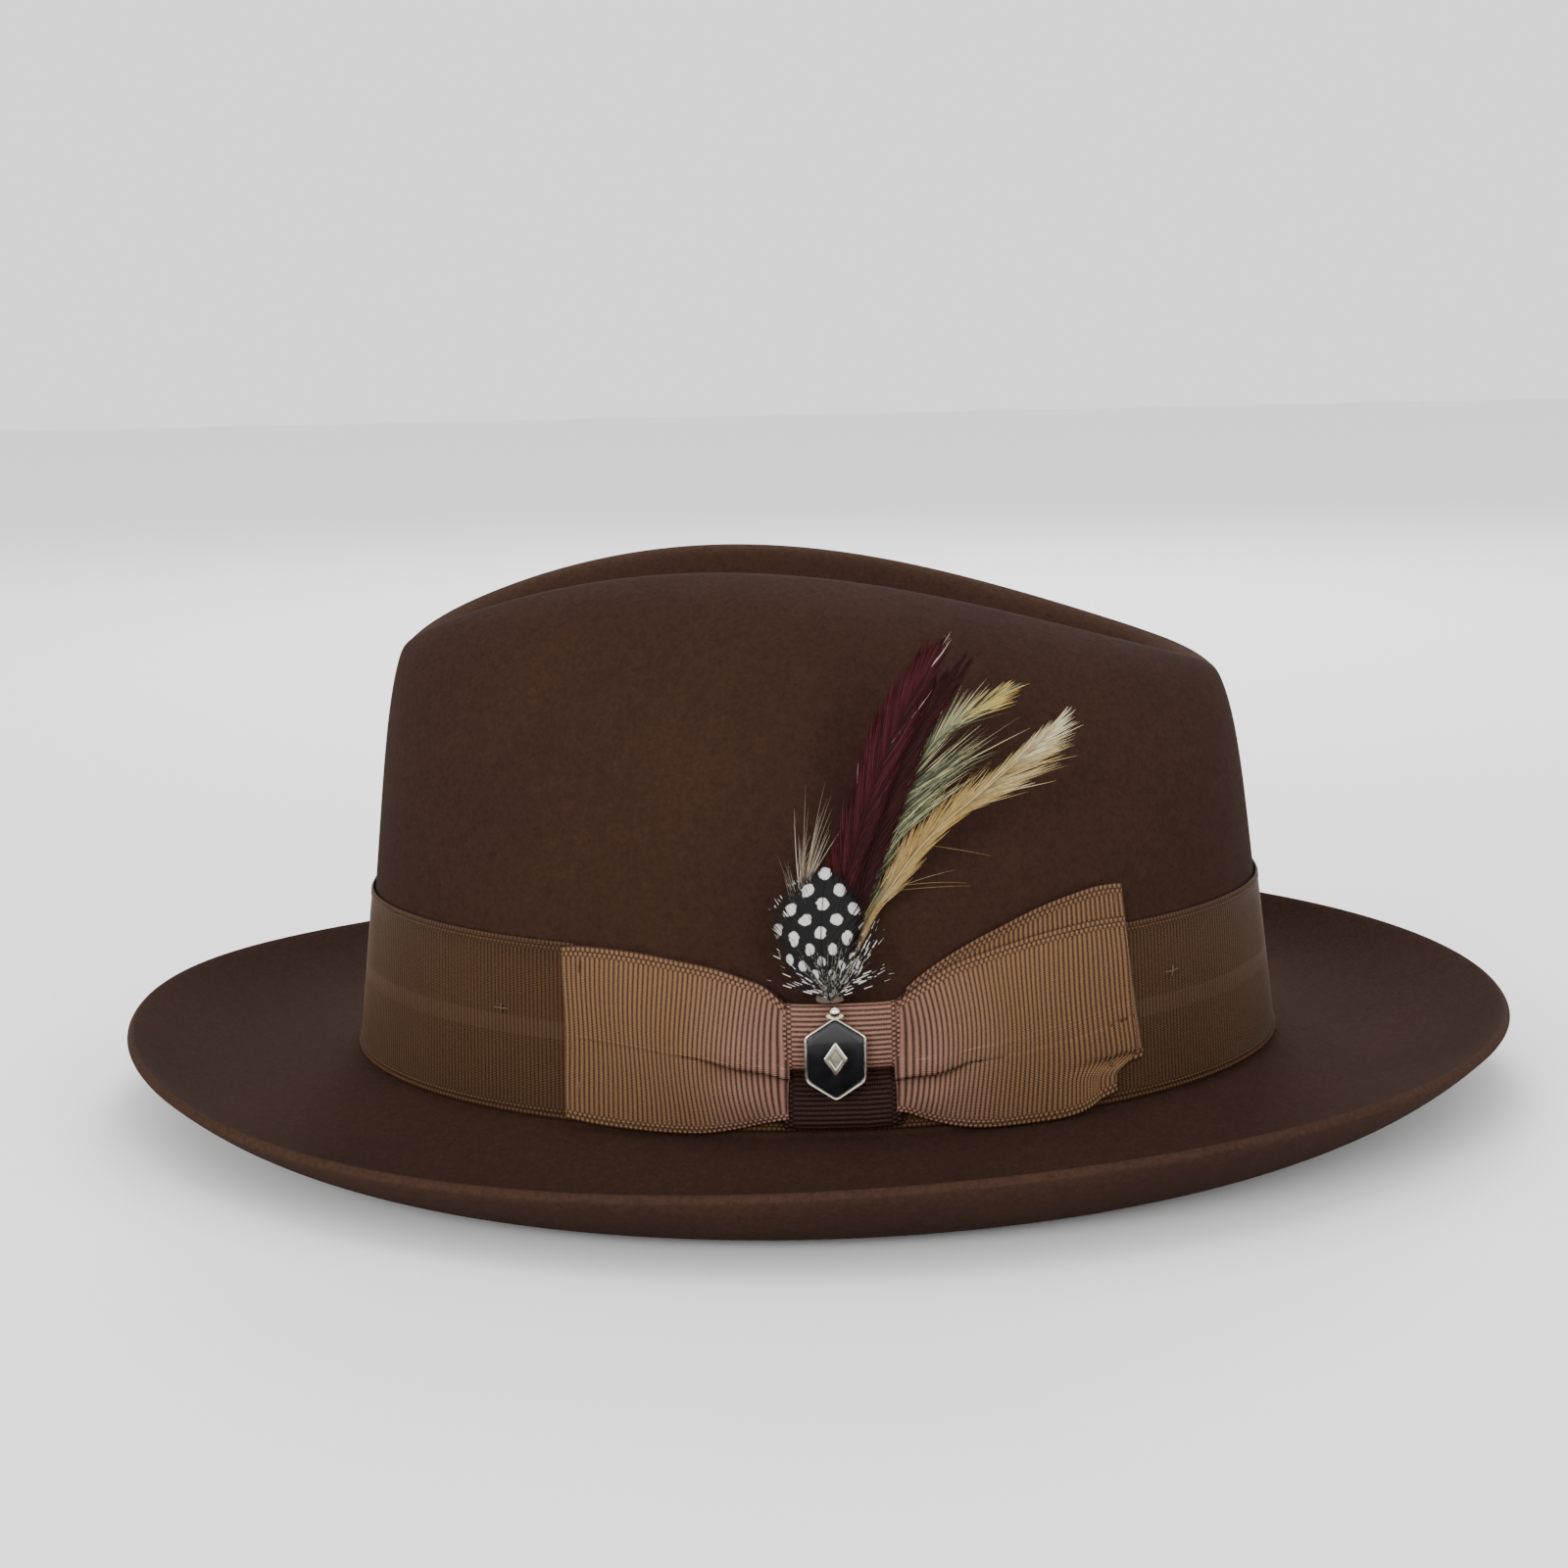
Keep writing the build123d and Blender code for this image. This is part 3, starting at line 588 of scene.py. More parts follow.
def make_felt():
    """Outer skin, rounded raw edge and inner skin in one closed surface."""
    edge_angles = np.linspace(0, np.pi, 9)[1:-1]
    rim, rim_normal = SKIN[:, -1], SKIN_NORMALS[:, -1]
    out = rim - SKIN[:, -2]
    out /= np.linalg.norm(out, axis=1, keepdims=True)
    middle = rim - rim_normal * FELT / 2
    bead = [middle + rim_normal * np.cos(a) * FELT / 2 + out * np.sin(a) ** 0.7 * 0.55 for a in edge_angles]
    under = (SKIN - SKIN_NORMALS * FELT)[:, ::-1]
    grid = np.concatenate([SKIN, np.stack(bead, 1), under], axis=1)
    count = grid.shape[1]
    column = np.arange(count)
    crest = DENT_ROWS - 1
    edge = SKIN.shape[1] + len(bead) / 2
    # The layer's first value marks the crest and the raw edge for the painted highlight.
    wear_and_highlight = 0.6 * bell(column, crest, 2.2) + 0.35 * bell(column, edge, 4)
    felt = make_piece("felt_hood", grid, grid_faces(len(AROUND), count, True), felt_material(),
                      "felt_body", uv=pairs(wear_and_highlight[None, :], np.zeros((len(AROUND), 1))))
    weld = felt.modifiers.new("weld", "WELD")
    weld.merge_threshold = 1e-6


# ---- grosgrain -------------------------------------------------------------------------------
def from_edge(across, width):
    return np.minimum(across, width - across)


def selvage(across, width, rib_phase):
    """Relief of the ribs: round cords, and two rows of small loops along each edge."""
    edge = from_edge(across, width)
    cords = 0.5 + 0.5 * np.cos(rib_phase)
    beads = 0.5 + 0.5 * np.cos(rib_phase + np.pi * np.floor(edge / BEAD))
    blend = np.clip(4 * edge - 7, 0, 1)
    return 0.15 * cords * blend + 0.30 * beads * np.abs(np.sin(np.pi * edge / BEAD)) * (1 - blend)


def ribbon_rows(width, count):
    """Positions across a ribbon: close together in the woven edges."""
    fine = np.linspace(0, 1.9, 9)
    return np.concatenate([fine, np.linspace(1.9, width - 1.9, count)[1:-1], width - fine[::-1]])


def make_band():
    """Ribs all the way round; behind the bow's centre the ribbon is drawn down below the bow's edge."""
    per_rib = 5
    guide = wall_point(np.linspace(0, 2 * np.pi, 721), 18, BAND_OUT)
    run = run_along(guide)
    length = run[-1]
    ribs = int(round(length / RIB))
    along = np.linspace(0, length, ribs * per_rib, endpoint=False)
    angle = np.interp(along, run, np.linspace(0, 2 * np.pi, 721))
    width = BAND_HIGH - BAND_LOW
    across = ribbon_rows(width, 10)
    relief = selvage(across[None, :], width, 2 * np.pi * (along[:, None] * ribs / length))
    bottom = BAND_LOW + 0.15 * np.sin(3 * angle) ** 2
    flare = 0.18 * np.exp(-across / 2.0)
    side = wall_point(angle, 30)
    high = np.where(side[:, 0] > 0, np.interp(side[:, 1], *BAND_TOP), BAND_HIGH) - BAND_LOW
    height = bottom[:, None] + across[None, :] / width * high[:, None]
    points = wall_point(angle[:, None], height, BAND_OUT + relief + flare[None, :])
    uv = pairs(along[:, None] * ribs * RIB / length, from_edge(across, width)[None, :])
    material = ribbon_material("grosgrain_band", (0.014, 0.0060, 0.0025), (0.062, 0.0270, 0.0085),
                               (0.052, 0.0215, 0.0075))
    band = make_piece("band_of_grosgrain", points, grid_faces(len(angle), len(across), True), material,
                      "band_ribbon", uv=uv)
    thicken(band, CLOTH)


def bow_material():
    # Rose crests near the knot's centre: painted sheen.
    return bpy.data.materials.get("grosgrain_bow") or ribbon_material(
        "grosgrain_bow", (0.032, 0.0135, 0.0078), (0.168, 0.088, 0.038), (0.255, 0.132, 0.098),
        centre=(0.0905, 0.004, 0.020), reach=0.030)


def fold_path(far, near, thick):
    """Stations along a folded ribbon: (y, layer), with layer 1 outside and 0 inside."""
    per_mm = 5
    outer = np.linspace(near, far, int(abs(far - near) * per_mm))
    turn = np.linspace(0, np.pi, 16)[1:-1]
    bulge = far + np.sign(far - near) * np.sin(turn) * thick / 2
    y = np.concatenate([outer, bulge, outer[::-1]])
    layer = np.concatenate([np.ones(len(outer)), 0.5 + 0.5 * np.cos(turn), np.zeros(len(outer))])
    return y, layer


def two_lobes(width, split):
    """For each station, the places across a ribbon parted at a crease, and the upper lobe's mask."""
    in_edge, in_lobe = 9, 30
    fine = np.broadcast_to(np.linspace(0, 2 * BEAD, in_edge), (len(split), in_edge))
    even = np.linspace(0, 1, in_lobe)
    middle = (split * width)[:, None]
    low = fine[:, -1:] + (middle - fine[:, -1:]) * even[1:]
    high = middle + (width - fine[:, -1:] - middle) * even[:-1]
    across = np.hstack([fine, low, high, width - fine[:, ::-1]])
    return across, np.arange(across.shape[1]) >= in_edge + in_lobe - 1


def make_loop(name, node, near, far, top, bottom, crease, puff, slant=0.0, tuck=0.0):
    """A folded loop of grosgrain that is gathered at the knot, with one sharp pleat there."""
    width, inner = 36.0, 0.95
    y, layer = fold_path(far, near, inner)
    from_knot = np.abs(y - near)
    split = crease["at"] + 0.05 * (1 - np.exp(-from_knot / 6))
    across, upper = two_lobes(width, split)
    share, split = across / width, split[:, None]
    pleat = np.exp(-(from_knot / crease["reach"]) ** 4)[:, None]
    lobe = np.where(upper, (share - split) / (1 - split), 1 - share / split)
    over = np.exp(-(lobe / 0.3) ** 2) - 0.5 * np.exp(-lobe / 0.04)
    under = -2.4 * np.exp(-(lobe / 0.4) ** 2) + 0.9 * np.sin(np.pi * lobe) - 0.2 * lobe
    gather = np.where(upper, over, under)
    swell = np.sin(np.pi * share) ** 0.8
    outer = 1.9 + np.interp(from_knot, *puff)[:, None] * swell + pleat * gather * crease["depth"]
    ends = np.clip(from_knot / 5.0, 0, 1)[:, None] ** 0.8
    outer = outer * ends + (1 - ends) * np.where(upper, 4.5, 3.0)
    low, high = (eased(y, *curve)[:, None] for curve in (bottom, top))
    height = low + (high - low) * share
    far_end = climb(from_knot, 30, 14)[:, None]
    pulled = far_end**2 / (1 + np.exp((height - 8.4) / 0.7))
    outer -= tuck * 0.22 * bell(height, 9.4, 1.0) * far_end**2
    out = inner + (np.maximum(outer, 1.3) - inner) * layer[:, None]
    sag = -pleat * crease["lap"] * np.where(upper, np.exp(-lobe / 0.16), 0) * layer[:, None]
    along = np.cumsum(np.abs(np.gradient(y)) + np.abs(np.gradient(layer)) * 1.2)
    relief = selvage(across, width, 2 * np.pi * along[:, None] / RIB)
    wave = 0.35 * np.sin(5.0 * share + y[:, None] / 7) * np.sin(np.pi * share)
    bow_out = np.exp(-(from_knot / 20) ** 2) - np.exp(-from_knot / 3)
    skew = crease["skew"] * np.sin(np.pi * share) * bow_out[:, None]
    lean = slant * (1 - share) * far_end - tuck * pulled
    sign = np.sign(layer[:, None] - 0.35)
    points = on_side(y[:, None] + skew + wave + lean, height + sag, out + sign * relief)
    loop = make_piece(name, points, grid_faces(len(y), across.shape[1]), bow_material(), node,
                      uv=pairs(along[:, None], from_edge(across, width)))
    thicken(loop, CLOTH, 0.0)


def make_front_loop():
    make_loop(
        "front_loop_of_bow", "bow_front_loop", KNOT_FROM + 1.0, -51.4,
        top=([-53, -48.4, -44.3, -36.3, -28.4, -20.6, -14.8, -10.9, -7.5, -5],
             [35.8, 36.3, 36.3, 35.8, 34.6, 33.1, 31.2, 29.7, 27.0, 24.5]),
        bottom=([-53, -45.2, -37.2, -29.2, -23.3, -17.4, -11.5, -7.2, -5],
                [1.2, 0.4, 0.0, -0.2, 0.0, 0.9, 2.2, 3.2, 3.6]),
        crease={"reach": 13.0, "at": 0.43, "depth": 1.3, "lap": 1.5, "skew": -2.8},
        puff=([0, 8, 18, 30, 44], [1.6, 2.9, 3.3, 2.2, 0.1]))


def make_rear_loop():
    make_loop(
        "rear_loop_of_bow", "bow_rear_loop", KNOT_TO - 1.0, 62.3,
        top=([13, 15.7, 19.5, 26.2, 34.2, 44.3, 51.2, 57, 64],
             [25.0, 26.8, 28.9, 32.6, 35.0, 37.2, 38.1, 38.5, 38.3]),
        bottom=([13, 16.5, 20.4, 30.2, 40.9, 50.5, 56.3, 60.6, 64],
                [4.6, 4.0, 2.3, -0.3, -0.8, -0.5, 0.8, 2.3, 3.2]),
        crease={"reach": 10.5, "at": 0.37, "depth": 1.3, "lap": 1.4, "skew": 2.8},
        puff=([0, 8, 18, 30, 44], [1.6, 2.9, 3.0, 2.0, 0.5]), slant=3.6, tuck=5.6)


def make_tail():
    """The back layer of the rear loop, which stands out above and beyond it."""
    width = 36.5
    across = ribbon_rows(width, 30)
    share = across / width
    y = np.linspace(17.2, 62.3, 45 * 5)
    low = eased(y, [17, 25, 34, 46, 56, 63], [5, 3.2, 3.4, 5.2, 7.6, 8.9])
    high = eased(y, [15.7, 21, 27.6, 37.7, 44.5, 51.4, 57.8, 62.5, 64],
                 [27.3, 31.5, 35.4, 39.9, 42.5, 44.3, 45.3, 45.0, 44.6])
    slant = 4.6 * (1 - share)[None, :] ** 1.1 * climb(y, 40, 22)[:, None]
    relief = selvage(across[None, :], width, 2 * np.pi * y[:, None] / RIB)
    height = low[:, None] + (high - low)[:, None] * share[None, :]
    lift = 0.5 * climb(height, 37, 6)
    points = on_side(y[:, None] + slant, height, 1.15 + relief + lift)
    tail = make_piece("rear_tail_of_bow", points, grid_faces(len(y), len(across)), bow_material(),
                      "bow_rear_tail",
                      uv=pairs(y[:, None] + 0.3, from_edge(across, width)[None, :]))
    thicken(tail, CLOTH, 0.0)


def make_knot():
    """The centre wrap: its ribs lie level, and its lower half turns in under the upper one and takes a darker
    copy of the ribbon, a painted shade.
    """
    path_z = [24.6, 26.3, 26.9, 26.6, 25.2, 21, 17, 14.9, 13.6, 12.0, 8, 4, 1.9, 1.0, 1.5, 3.2]
    path_out = [1.5, 2.4, 3.6, 4.7, 5.2, 5.55, 5.5, 5.2, 4.3, 3.7, 3.5, 3.5, 3.3, 2.7, 1.9, 1.4]
    raw = np.column_stack([path_z, path_out])
    knots = run_along(raw)
    along = np.linspace(0, knots[-1], int(knots[-1] * 8))
    line = np.column_stack([np.interp(along, knots, raw[:, k]) for k in range(2)])
    for _ in range(14):
        line[1:-1] = (line[:-2] + 2 * line[1:-1] + line[2:]) / 4
    width = KNOT_TO - KNOT_FROM
    across = ribbon_rows(width, 26)
    relief = selvage(across[None, :], width, 2 * np.pi * along[:, None] / RIB)
    fold = 0.45 * bell(across, 16.5, 0.6)[None, :] * (line[:, :1] < 12)
    edge_dip = 1.15 * (np.abs(across / width - 0.5) * 2) ** 5
    out = line[:, 1:] + relief + fold - edge_dip[None, :]
    points = on_side(KNOT_FROM + across[None, :], line[:, :1], out)
    knot = make_piece("centre_wrap_of_bow", points, grid_faces(len(along), len(across)), bow_material(),
                      "knot_wrap", uv=pairs(along[:, None], from_edge(across, width)[None, :]))
    # The lower half's faces get a darker copy of the bow's ribbon: painted shade.
    knot.data.materials.append(ribbon_material("grosgrain_painted_shade", (0.0095, 0.0030, 0.0024),
                                               (0.026, 0.0085, 0.0062), (0.020, 0.0066, 0.0050)))
    under = (line[:-1, 0] < SHADED_BELOW) & (along[:-1] > 8)
    knot.data.polygons.foreach_set("material_index", np.repeat(under.astype(np.int32), len(across) - 1))
    thicken(knot, CLOTH)


# ---- feathers --------------------------------------------------------------------------------
PLUME_FOOT = float(on_side(1.5, QUILL_FOOT, 0.9)[0])


def plume_x(z, layer):
    """Distance from the hat's centre of a feather's own plane, which leans with the crown."""
    return PLUME_FOOT + 0.45 + layer * 0.76 - 0.06 * (z - VANE_LOW)


def barbs(line, side, count, span, lengths, leans, bend, width, ragged=0.12, spread=4.0):
    """Barbs on one side of a rachis: side is -1 or 1 and leans are degrees from the rachis."""
    share = np.sort(RANDOM.uniform(span[0], span[1], count))
    place = share * (len(line) - 1)
    root = np.column_stack([np.interp(place, np.arange(len(line)), line[:, k]) for k in range(2)])
    step = np.gradient(line, axis=0)
    heading = np.interp(place, np.arange(len(line)), np.unwrap(np.arctan2(step[:, 0], step[:, 1])))
    local = (share - span[0]) / (span[1] - span[0])
    length = np.interp(local, np.linspace(0, 1, len(lengths)), lengths)
    lean = np.interp(local, np.linspace(0, 1, len(leans)), leans) + RANDOM.normal(0, spread, count)
    return {"root": root, "aim": heading + side * np.radians(lean),
            "length": length * np.clip(RANDOM.normal(1, ragged, count), 0.4, 1.5),
            "bend": -side * np.radians(bend) * RANDOM.normal(1, 0.35, count),
            "width": width * RANDOM.uniform(0.7, 1.2, count),
            "depth": RANDOM.uniform(-0.28, 0.28, (count, 2)), "share": share}


def strands(batch, layer, segments=9, keel=0.06):
    """Thin tapering strips with a slight ridge: points, faces, and the place along each strip."""
    count = len(batch["aim"])
    t = np.linspace(0, 1, segments + 1)
    turn = batch["aim"][:, None] + batch["bend"][:, None] * t
    step = batch["length"][:, None] / segments
    y = batch["root"][:, :1] + np.cumsum(np.sin(turn) * step, axis=1) - np.sin(turn[:, :1]) * step
    z = batch["root"][:, 1:] + np.cumsum(np.cos(turn) * step, axis=1) - np.cos(turn[:, :1]) * step
    half = batch["width"][:, None] / 2 * (1 - 0.93 * t**2.2)
    depth = batch["depth"][:, :1] * t + batch["depth"][:, 1:] * np.sin(np.pi * t) * 0.6
    rows = []
    for across, rise in ((-1, 0), (0, keel), (1, 0)):
        at_y, at_z = y + across * half * np.cos(turn), z - across * half * np.sin(turn)
        rows.append(np.stack([plume_x(at_z, layer) + depth + rise, at_y, at_z], -1))
    points = np.stack(rows, 2)
    one = grid_faces(segments + 1, 3)
    faces = (one[None] + (np.arange(count) * 3 * (segments + 1))[:, None, None]).reshape(-1, 4)
    along = np.broadcast_to(t[None, :, None], points.shape[:3])
    return points, faces.tolist(), along


def shaft(line, layer, thick, tip, tone):
    """A rachis as a tapering tube, with its UVs."""
    points = np.column_stack([plume_x(line[:, 1], layer) + 0.1, line])
    tube_points, faces = tube(points, np.linspace(thick, tip, len(line)), 6)
    uv = np.column_stack([np.repeat(np.linspace(0, 1, len(line)), 6), np.full(len(tube_points), tone)])
    return tube_points, faces, uv


def feather_piece(name, node, material, parts):
    """One feather from several lots of (points, faces, uv)."""
    points, faces = joined([(p.reshape(-1, 3), f) for p, f, _ in parts])
    uv = np.vstack([u.reshape(-1, 2) for _, _, u in parts])
    make_piece(name, points, faces, material, node, "feather_bunch", uv)


def tinted(batch, layer, tone, **settings):
    """Strands whose UVs are the place along each barb and the barb's own tone."""
    points, faces, along = strands(batch, layer, **settings)
    tones = np.broadcast_to(np.asarray(tone)[:, None, None], along.shape)
    return points, faces, np.stack([along, tones], -1)


def make_burgundy():
    many, some = 620, 420                       # barbs on each side of the front and the back plume
    material = feather_material(
        "burgundy_plume",
        ((0.0, (0.0085, 0.0014, 0.0016)), (0.45, (0.024, 0.0036, 0.0040)), (0.85, (0.056, 0.0085, 0.0110)),
         (0.93, (0.18, 0.11, 0.10)), (1.0, (0.36, 0.30, 0.26))),
        ((0.0, (0.75, 0.7, 0.75)), (0.6, (1, 1, 1)), (1.0, (1.2, 1.1, 1.15))), 0.4, 0.05)
    front = smooth_line([(2.7, 29), (4.3, 47.4), (7.7, 58.9), (11.1, 69.2), (15.5, 80.0), (20.4, 89.4),
                         (23.6, 94.2)], 60)
    parts = [shaft(front, 4, 0.42, 0.10, 0.3)]
    for side, lengths in ((-1, [4, 11, 15, 16, 15, 13, 6]), (1, [4, 10, 13, 14, 14, 12, 5])):
        lot = barbs(front, side, many, (0.08, 1.0), lengths, [24, 20, 18, 17, 17, 13, 7], 7, 0.34, 0.07, 1.6)
        tone = RANDOM.beta(2, 2.2, many) * 0.86
        chance = np.interp(lot["share"], [0, 0.86, 0.95, 1], [0.004, 0.004, 0.08, 0.5])
        pale = RANDOM.uniform(0, 1, many) < chance
        parts.append(tinted(lot, 4, np.where(pale, RANDOM.uniform(0.92, 1, many), tone)))
    feather_piece("burgundy_plume_front", "burgundy_feather_front", material, parts)
    back = smooth_line([(4.0, 29), (8.8, 50.4), (14.2, 66.4), (18.2, 76.6), (23.4, 85.2), (27.2, 90.4)], 60)
    parts = [shaft(back, 3, 0.4, 0.10, 0.2)]
    for side, lengths in ((-1, [4, 10, 12, 12, 10, 6]), (1, [4, 10, 12, 12, 10, 6])):
        lot = barbs(back, side, some, (0.10, 1.0), lengths, [24, 20, 19, 18, 16, 10], 6, 0.36, 0.08, 2.0)
        parts.append(tinted(lot, 3, RANDOM.beta(1.6, 4, some) * 0.6))
    feather_piece("burgundy_plume_back", "burgundy_feather_back", material, parts)


def make_olive():
    material = feather_material(
        "olive_plume",
        ((0.0, (0.016, 0.019, 0.008)), (0.3, (0.050, 0.050, 0.024)), (0.6, (0.15, 0.145, 0.085)),
         (0.85, (0.35, 0.33, 0.20)), (1.0, (0.38, 0.27, 0.07))),
        ((0.0, (0.45, 0.5, 0.4)), (0.4, (0.9, 0.95, 0.85)), (1.0, (1.15, 1.1, 1.05))), 0.45)
    line = smooth_line([(4.0, 29), (10.1, 46.8), (14.2, 59.7), (18.2, 69.9), (24.1, 78.8), (31.2, 84.2),
                        (36.2, 87.2)], 60)
    parts = [shaft(line, 1, 0.3, 0.09, 0.6)]
    for side, count, span, lengths, leans, bend in (
            (1, 105, (0.40, 0.62), [14, 19, 21], [26, 31, 31], -5),
            (1, 40, (0.62, 0.80), [13, 10, 9], [20, 15, 13], 2),
            (1, 80, (0.80, 1.0), [11, 9, 5], [18, 14, 8], 4),
            (-1, 95, (0.55, 1.0), [7, 9, 10, 8, 4], [15, 15, 13, 11, 8], 4),
            (1, 30, (0.2, 0.42), [6, 11], [18, 18], 2)):
        lot = barbs(line, side, count, span, lengths, leans, bend, 0.22, 0.16, 4.5)
        tone = RANDOM.beta(0.9, 0.8, count) * 0.9
        golden = (lot["share"] > 0.84) & (RANDOM.uniform(0, 1, count) < 0.45)
        parts.append(tinted(lot, 1, np.where(golden, 1.0, tone)))
    feather_piece("olive_plume", "olive_hackle", material, parts)


def make_gold():
    material = feather_material(
        "golden_plume",
        ((0.0, (0.32, 0.26, 0.155)), (0.22, (0.28, 0.185, 0.065)), (0.5, (0.24, 0.145, 0.038)),
         (0.72, (0.30, 0.23, 0.105)), (1.0, (0.46, 0.42, 0.30))),
        # The second ramp darkens each barb towards its root at the rachis: painted shade.
        ((0.0, (0.30, 0.25, 0.2)), (0.35, (0.85, 0.85, 0.82)), (1.0, (1.25, 1.25, 1.22))), 0.4)
    line = smooth_line([(4.7, 29), (7.0, 36.2), (9.4, 42.1), (13.4, 47.9), (18.6, 55.0), (24.5, 61.3),
                        (31.0, 66.6), (37.5, 72.0), (43.4, 77.0), (47.4, 81.0)], 70)
    parts = [shaft(line, 0, 0.34, 0.08, 0.15)]
    for side, count, span, lengths, leans, bend, spread, width in (
            (-1, 70, (0.20, 0.64), [15, 18, 15, 10], [26, 22, 15, 12], 16, 8, 0.13),
            (-1, 200, (0.12, 0.70), [8, 11, 11, 8], [17, 17, 13, 11], 5, 3.5, 0.22),
            (1, 190, (0.08, 0.62), [7, 10, 10, 9], [10, 12, 13, 14], 5, 3, 0.22),
            (-1, 110, (0.62, 1.0), [8, 8, 7, 4], [12, 12, 12, 9], 6, 3, 0.22),
            (1, 170, (0.60, 1.0), [10, 13, 12, 8, 4], [18, 23, 23, 18, 10], 2, 3.5, 0.22),
            (1, 4, (0.28, 0.52), [18, 15], [38, 46], -14, 6, 0.1)):
        lot = barbs(line, side, count, span, lengths, leans, bend, width, 0.15, spread)
        tone = np.clip(lot["share"] * 0.95 + RANDOM.normal(0, 0.12, count), 0, 1)
        parts.append(tinted(lot, 0, tone))
    feather_piece("golden_plume", "golden_hackle", material, parts)


def make_wisps():
    material = feather_material(
        "cream_wisps", ((0.0, (0.14, 0.10, 0.065)), (0.5, (0.28, 0.23, 0.17)), (1.0, (0.44, 0.39, 0.31))),
        ((0.0, (0.8, 0.75, 0.7)), (1.0, (1.05, 1.05, 1.05))), 0.5)
    line = smooth_line([(1.6, 29), (-1.0, 37), (-3.0, 44), (-2.6, 51)], 40)
    parts = [shaft(line, 2, 0.2, 0.05, 0.6)]
    for side, count, span, lengths, leans, bend, width in (
            (-1, 16, (0.25, 0.95), [9, 11, 12], [16, 17, 16], 34, 0.10),
            (1, 26, (0.35, 1.0), [15, 18, 17], [6, 9, 11], -6, 0.13),
            (-1, 16, (0.2, 1.0), [9, 12, 14], [5, 4, 3], 8, 0.12)):
        lot = barbs(line, side, count, span, lengths, leans, bend, width, 0.25, 6)
        parts.append(tinted(lot, 2, RANDOM.uniform(0, 1, count), segments=14, keel=0.03))
    feather_piece("cream_wisps", "wisp_plume", material, parts)


def dotted(batch, layer, **settings):
    """Strands of the spotted vane, whose UVs place the rows of dots."""
    points, faces, _ = strands(batch, layer, **settings)
    y, z = points[..., 1], points[..., 2]
    middle = np.interp(z, [30, 36, 42, 48, 54], [1.4, 0.5, 0.4, 1.0, 1.6])
    spacing = np.interp(z, [30, 34, 38.5, 44, 55], [1.2, 1.8, 2.3, 3.1, 3.2])
    column = (y - middle) / spacing
    row = np.interp(z, [28, 31, 34.5, 38.4, 41.8, 44.4, 47.3, 50.3, 53.3, 56],
                    [9.5, 8, 6.6, 5, 4, 3, 2, 1, 0, -0.9])
    return points, faces, np.stack([column, row - 0.09 * column**2], -1)


def dashed(batch, layer, **settings):
    """Loose spotted barbs: the dots follow one another along each barb."""
    points, faces, along = strands(batch, layer, **settings)
    length = batch["length"][:, None, None]
    phase = RANDOM.uniform(0, 2, len(batch["aim"]))[:, None, None]
    return points, faces, np.stack([np.zeros_like(along), along * length / 2.1 + phase], -1)


def downy(batch, layer, **settings):
    points, faces, along = strands(batch, layer, **settings)
    return points, faces, np.stack([np.full_like(along, DOWNY), along], -1)


def black_shaft(line, layer, thick, tip):
    """A shaft that lies between the dots all along."""
    points, faces, uv = shaft(line, layer, thick, tip, 0)
    return points, faces, uv * 0 + [0, 1]


def make_guinea():
    material = guinea_material()
    line = smooth_line([(2.0, 28.2), (1.0, 33), (0.5, 40), (0.9, 47), (1.5, 52.5)], 50)
    parts = [black_shaft(line, 6, 0.16, 0.05)]
    for side in (-1, 1):
        lot = barbs(line, side, 230, (0.06, 1.0), [9, 12, 12.8, 11.2, 8.6, 5.6, 2.6],
                    [54, 54, 53, 51, 44, 30, 8], 30, 0.40, 0.05, 1.4)
        lot["depth"] *= 0.5
        parts.append(dotted(lot, 6, segments=14))
        lot = barbs(line, side, 9, (0.0, 0.12), [9, 11], [62, 52], 20, 0.26, 0.2, 9)
        parts.append(dashed(lot, 6, segments=12))
    base, tufts = smooth_line([(2.0, 27.6), (1.8, 31.0)], 12), 24
    for side in (-1, 1):
        lot = barbs(base, side, tufts, (0.0, 1.0), [10, 7.0], [32, 10], 6, 0.2, 0.3, 14)
        lot["depth"] = RANDOM.uniform(0.1, 0.9, (tufts, 2))
        parts.append(downy(lot, 6, segments=8))
    feather_piece("guinea_plume", "guinea_feather", material, parts)
    small = smooth_line([(2.6, 28.4), (5.2, 31.2), (8.0, 33.0)], 20)
    parts = [black_shaft(small, 5, 0.22, 0.06)]
    for side, count, lengths, leans, bend in (
            (-1, 16, [14, 11, 9], [30, 30, 26], 4),
            (1, 10, [9, 8, 7], [28, 24, 22], 8)):
        lot = barbs(small, side, count, (0.0, 1.0), lengths, leans, bend, 0.26, 0.2, 8)
        parts.append(dashed(lot, 5, segments=12))
    feather_piece("small_guinea_plume", "small_guinea_feather", material, parts)


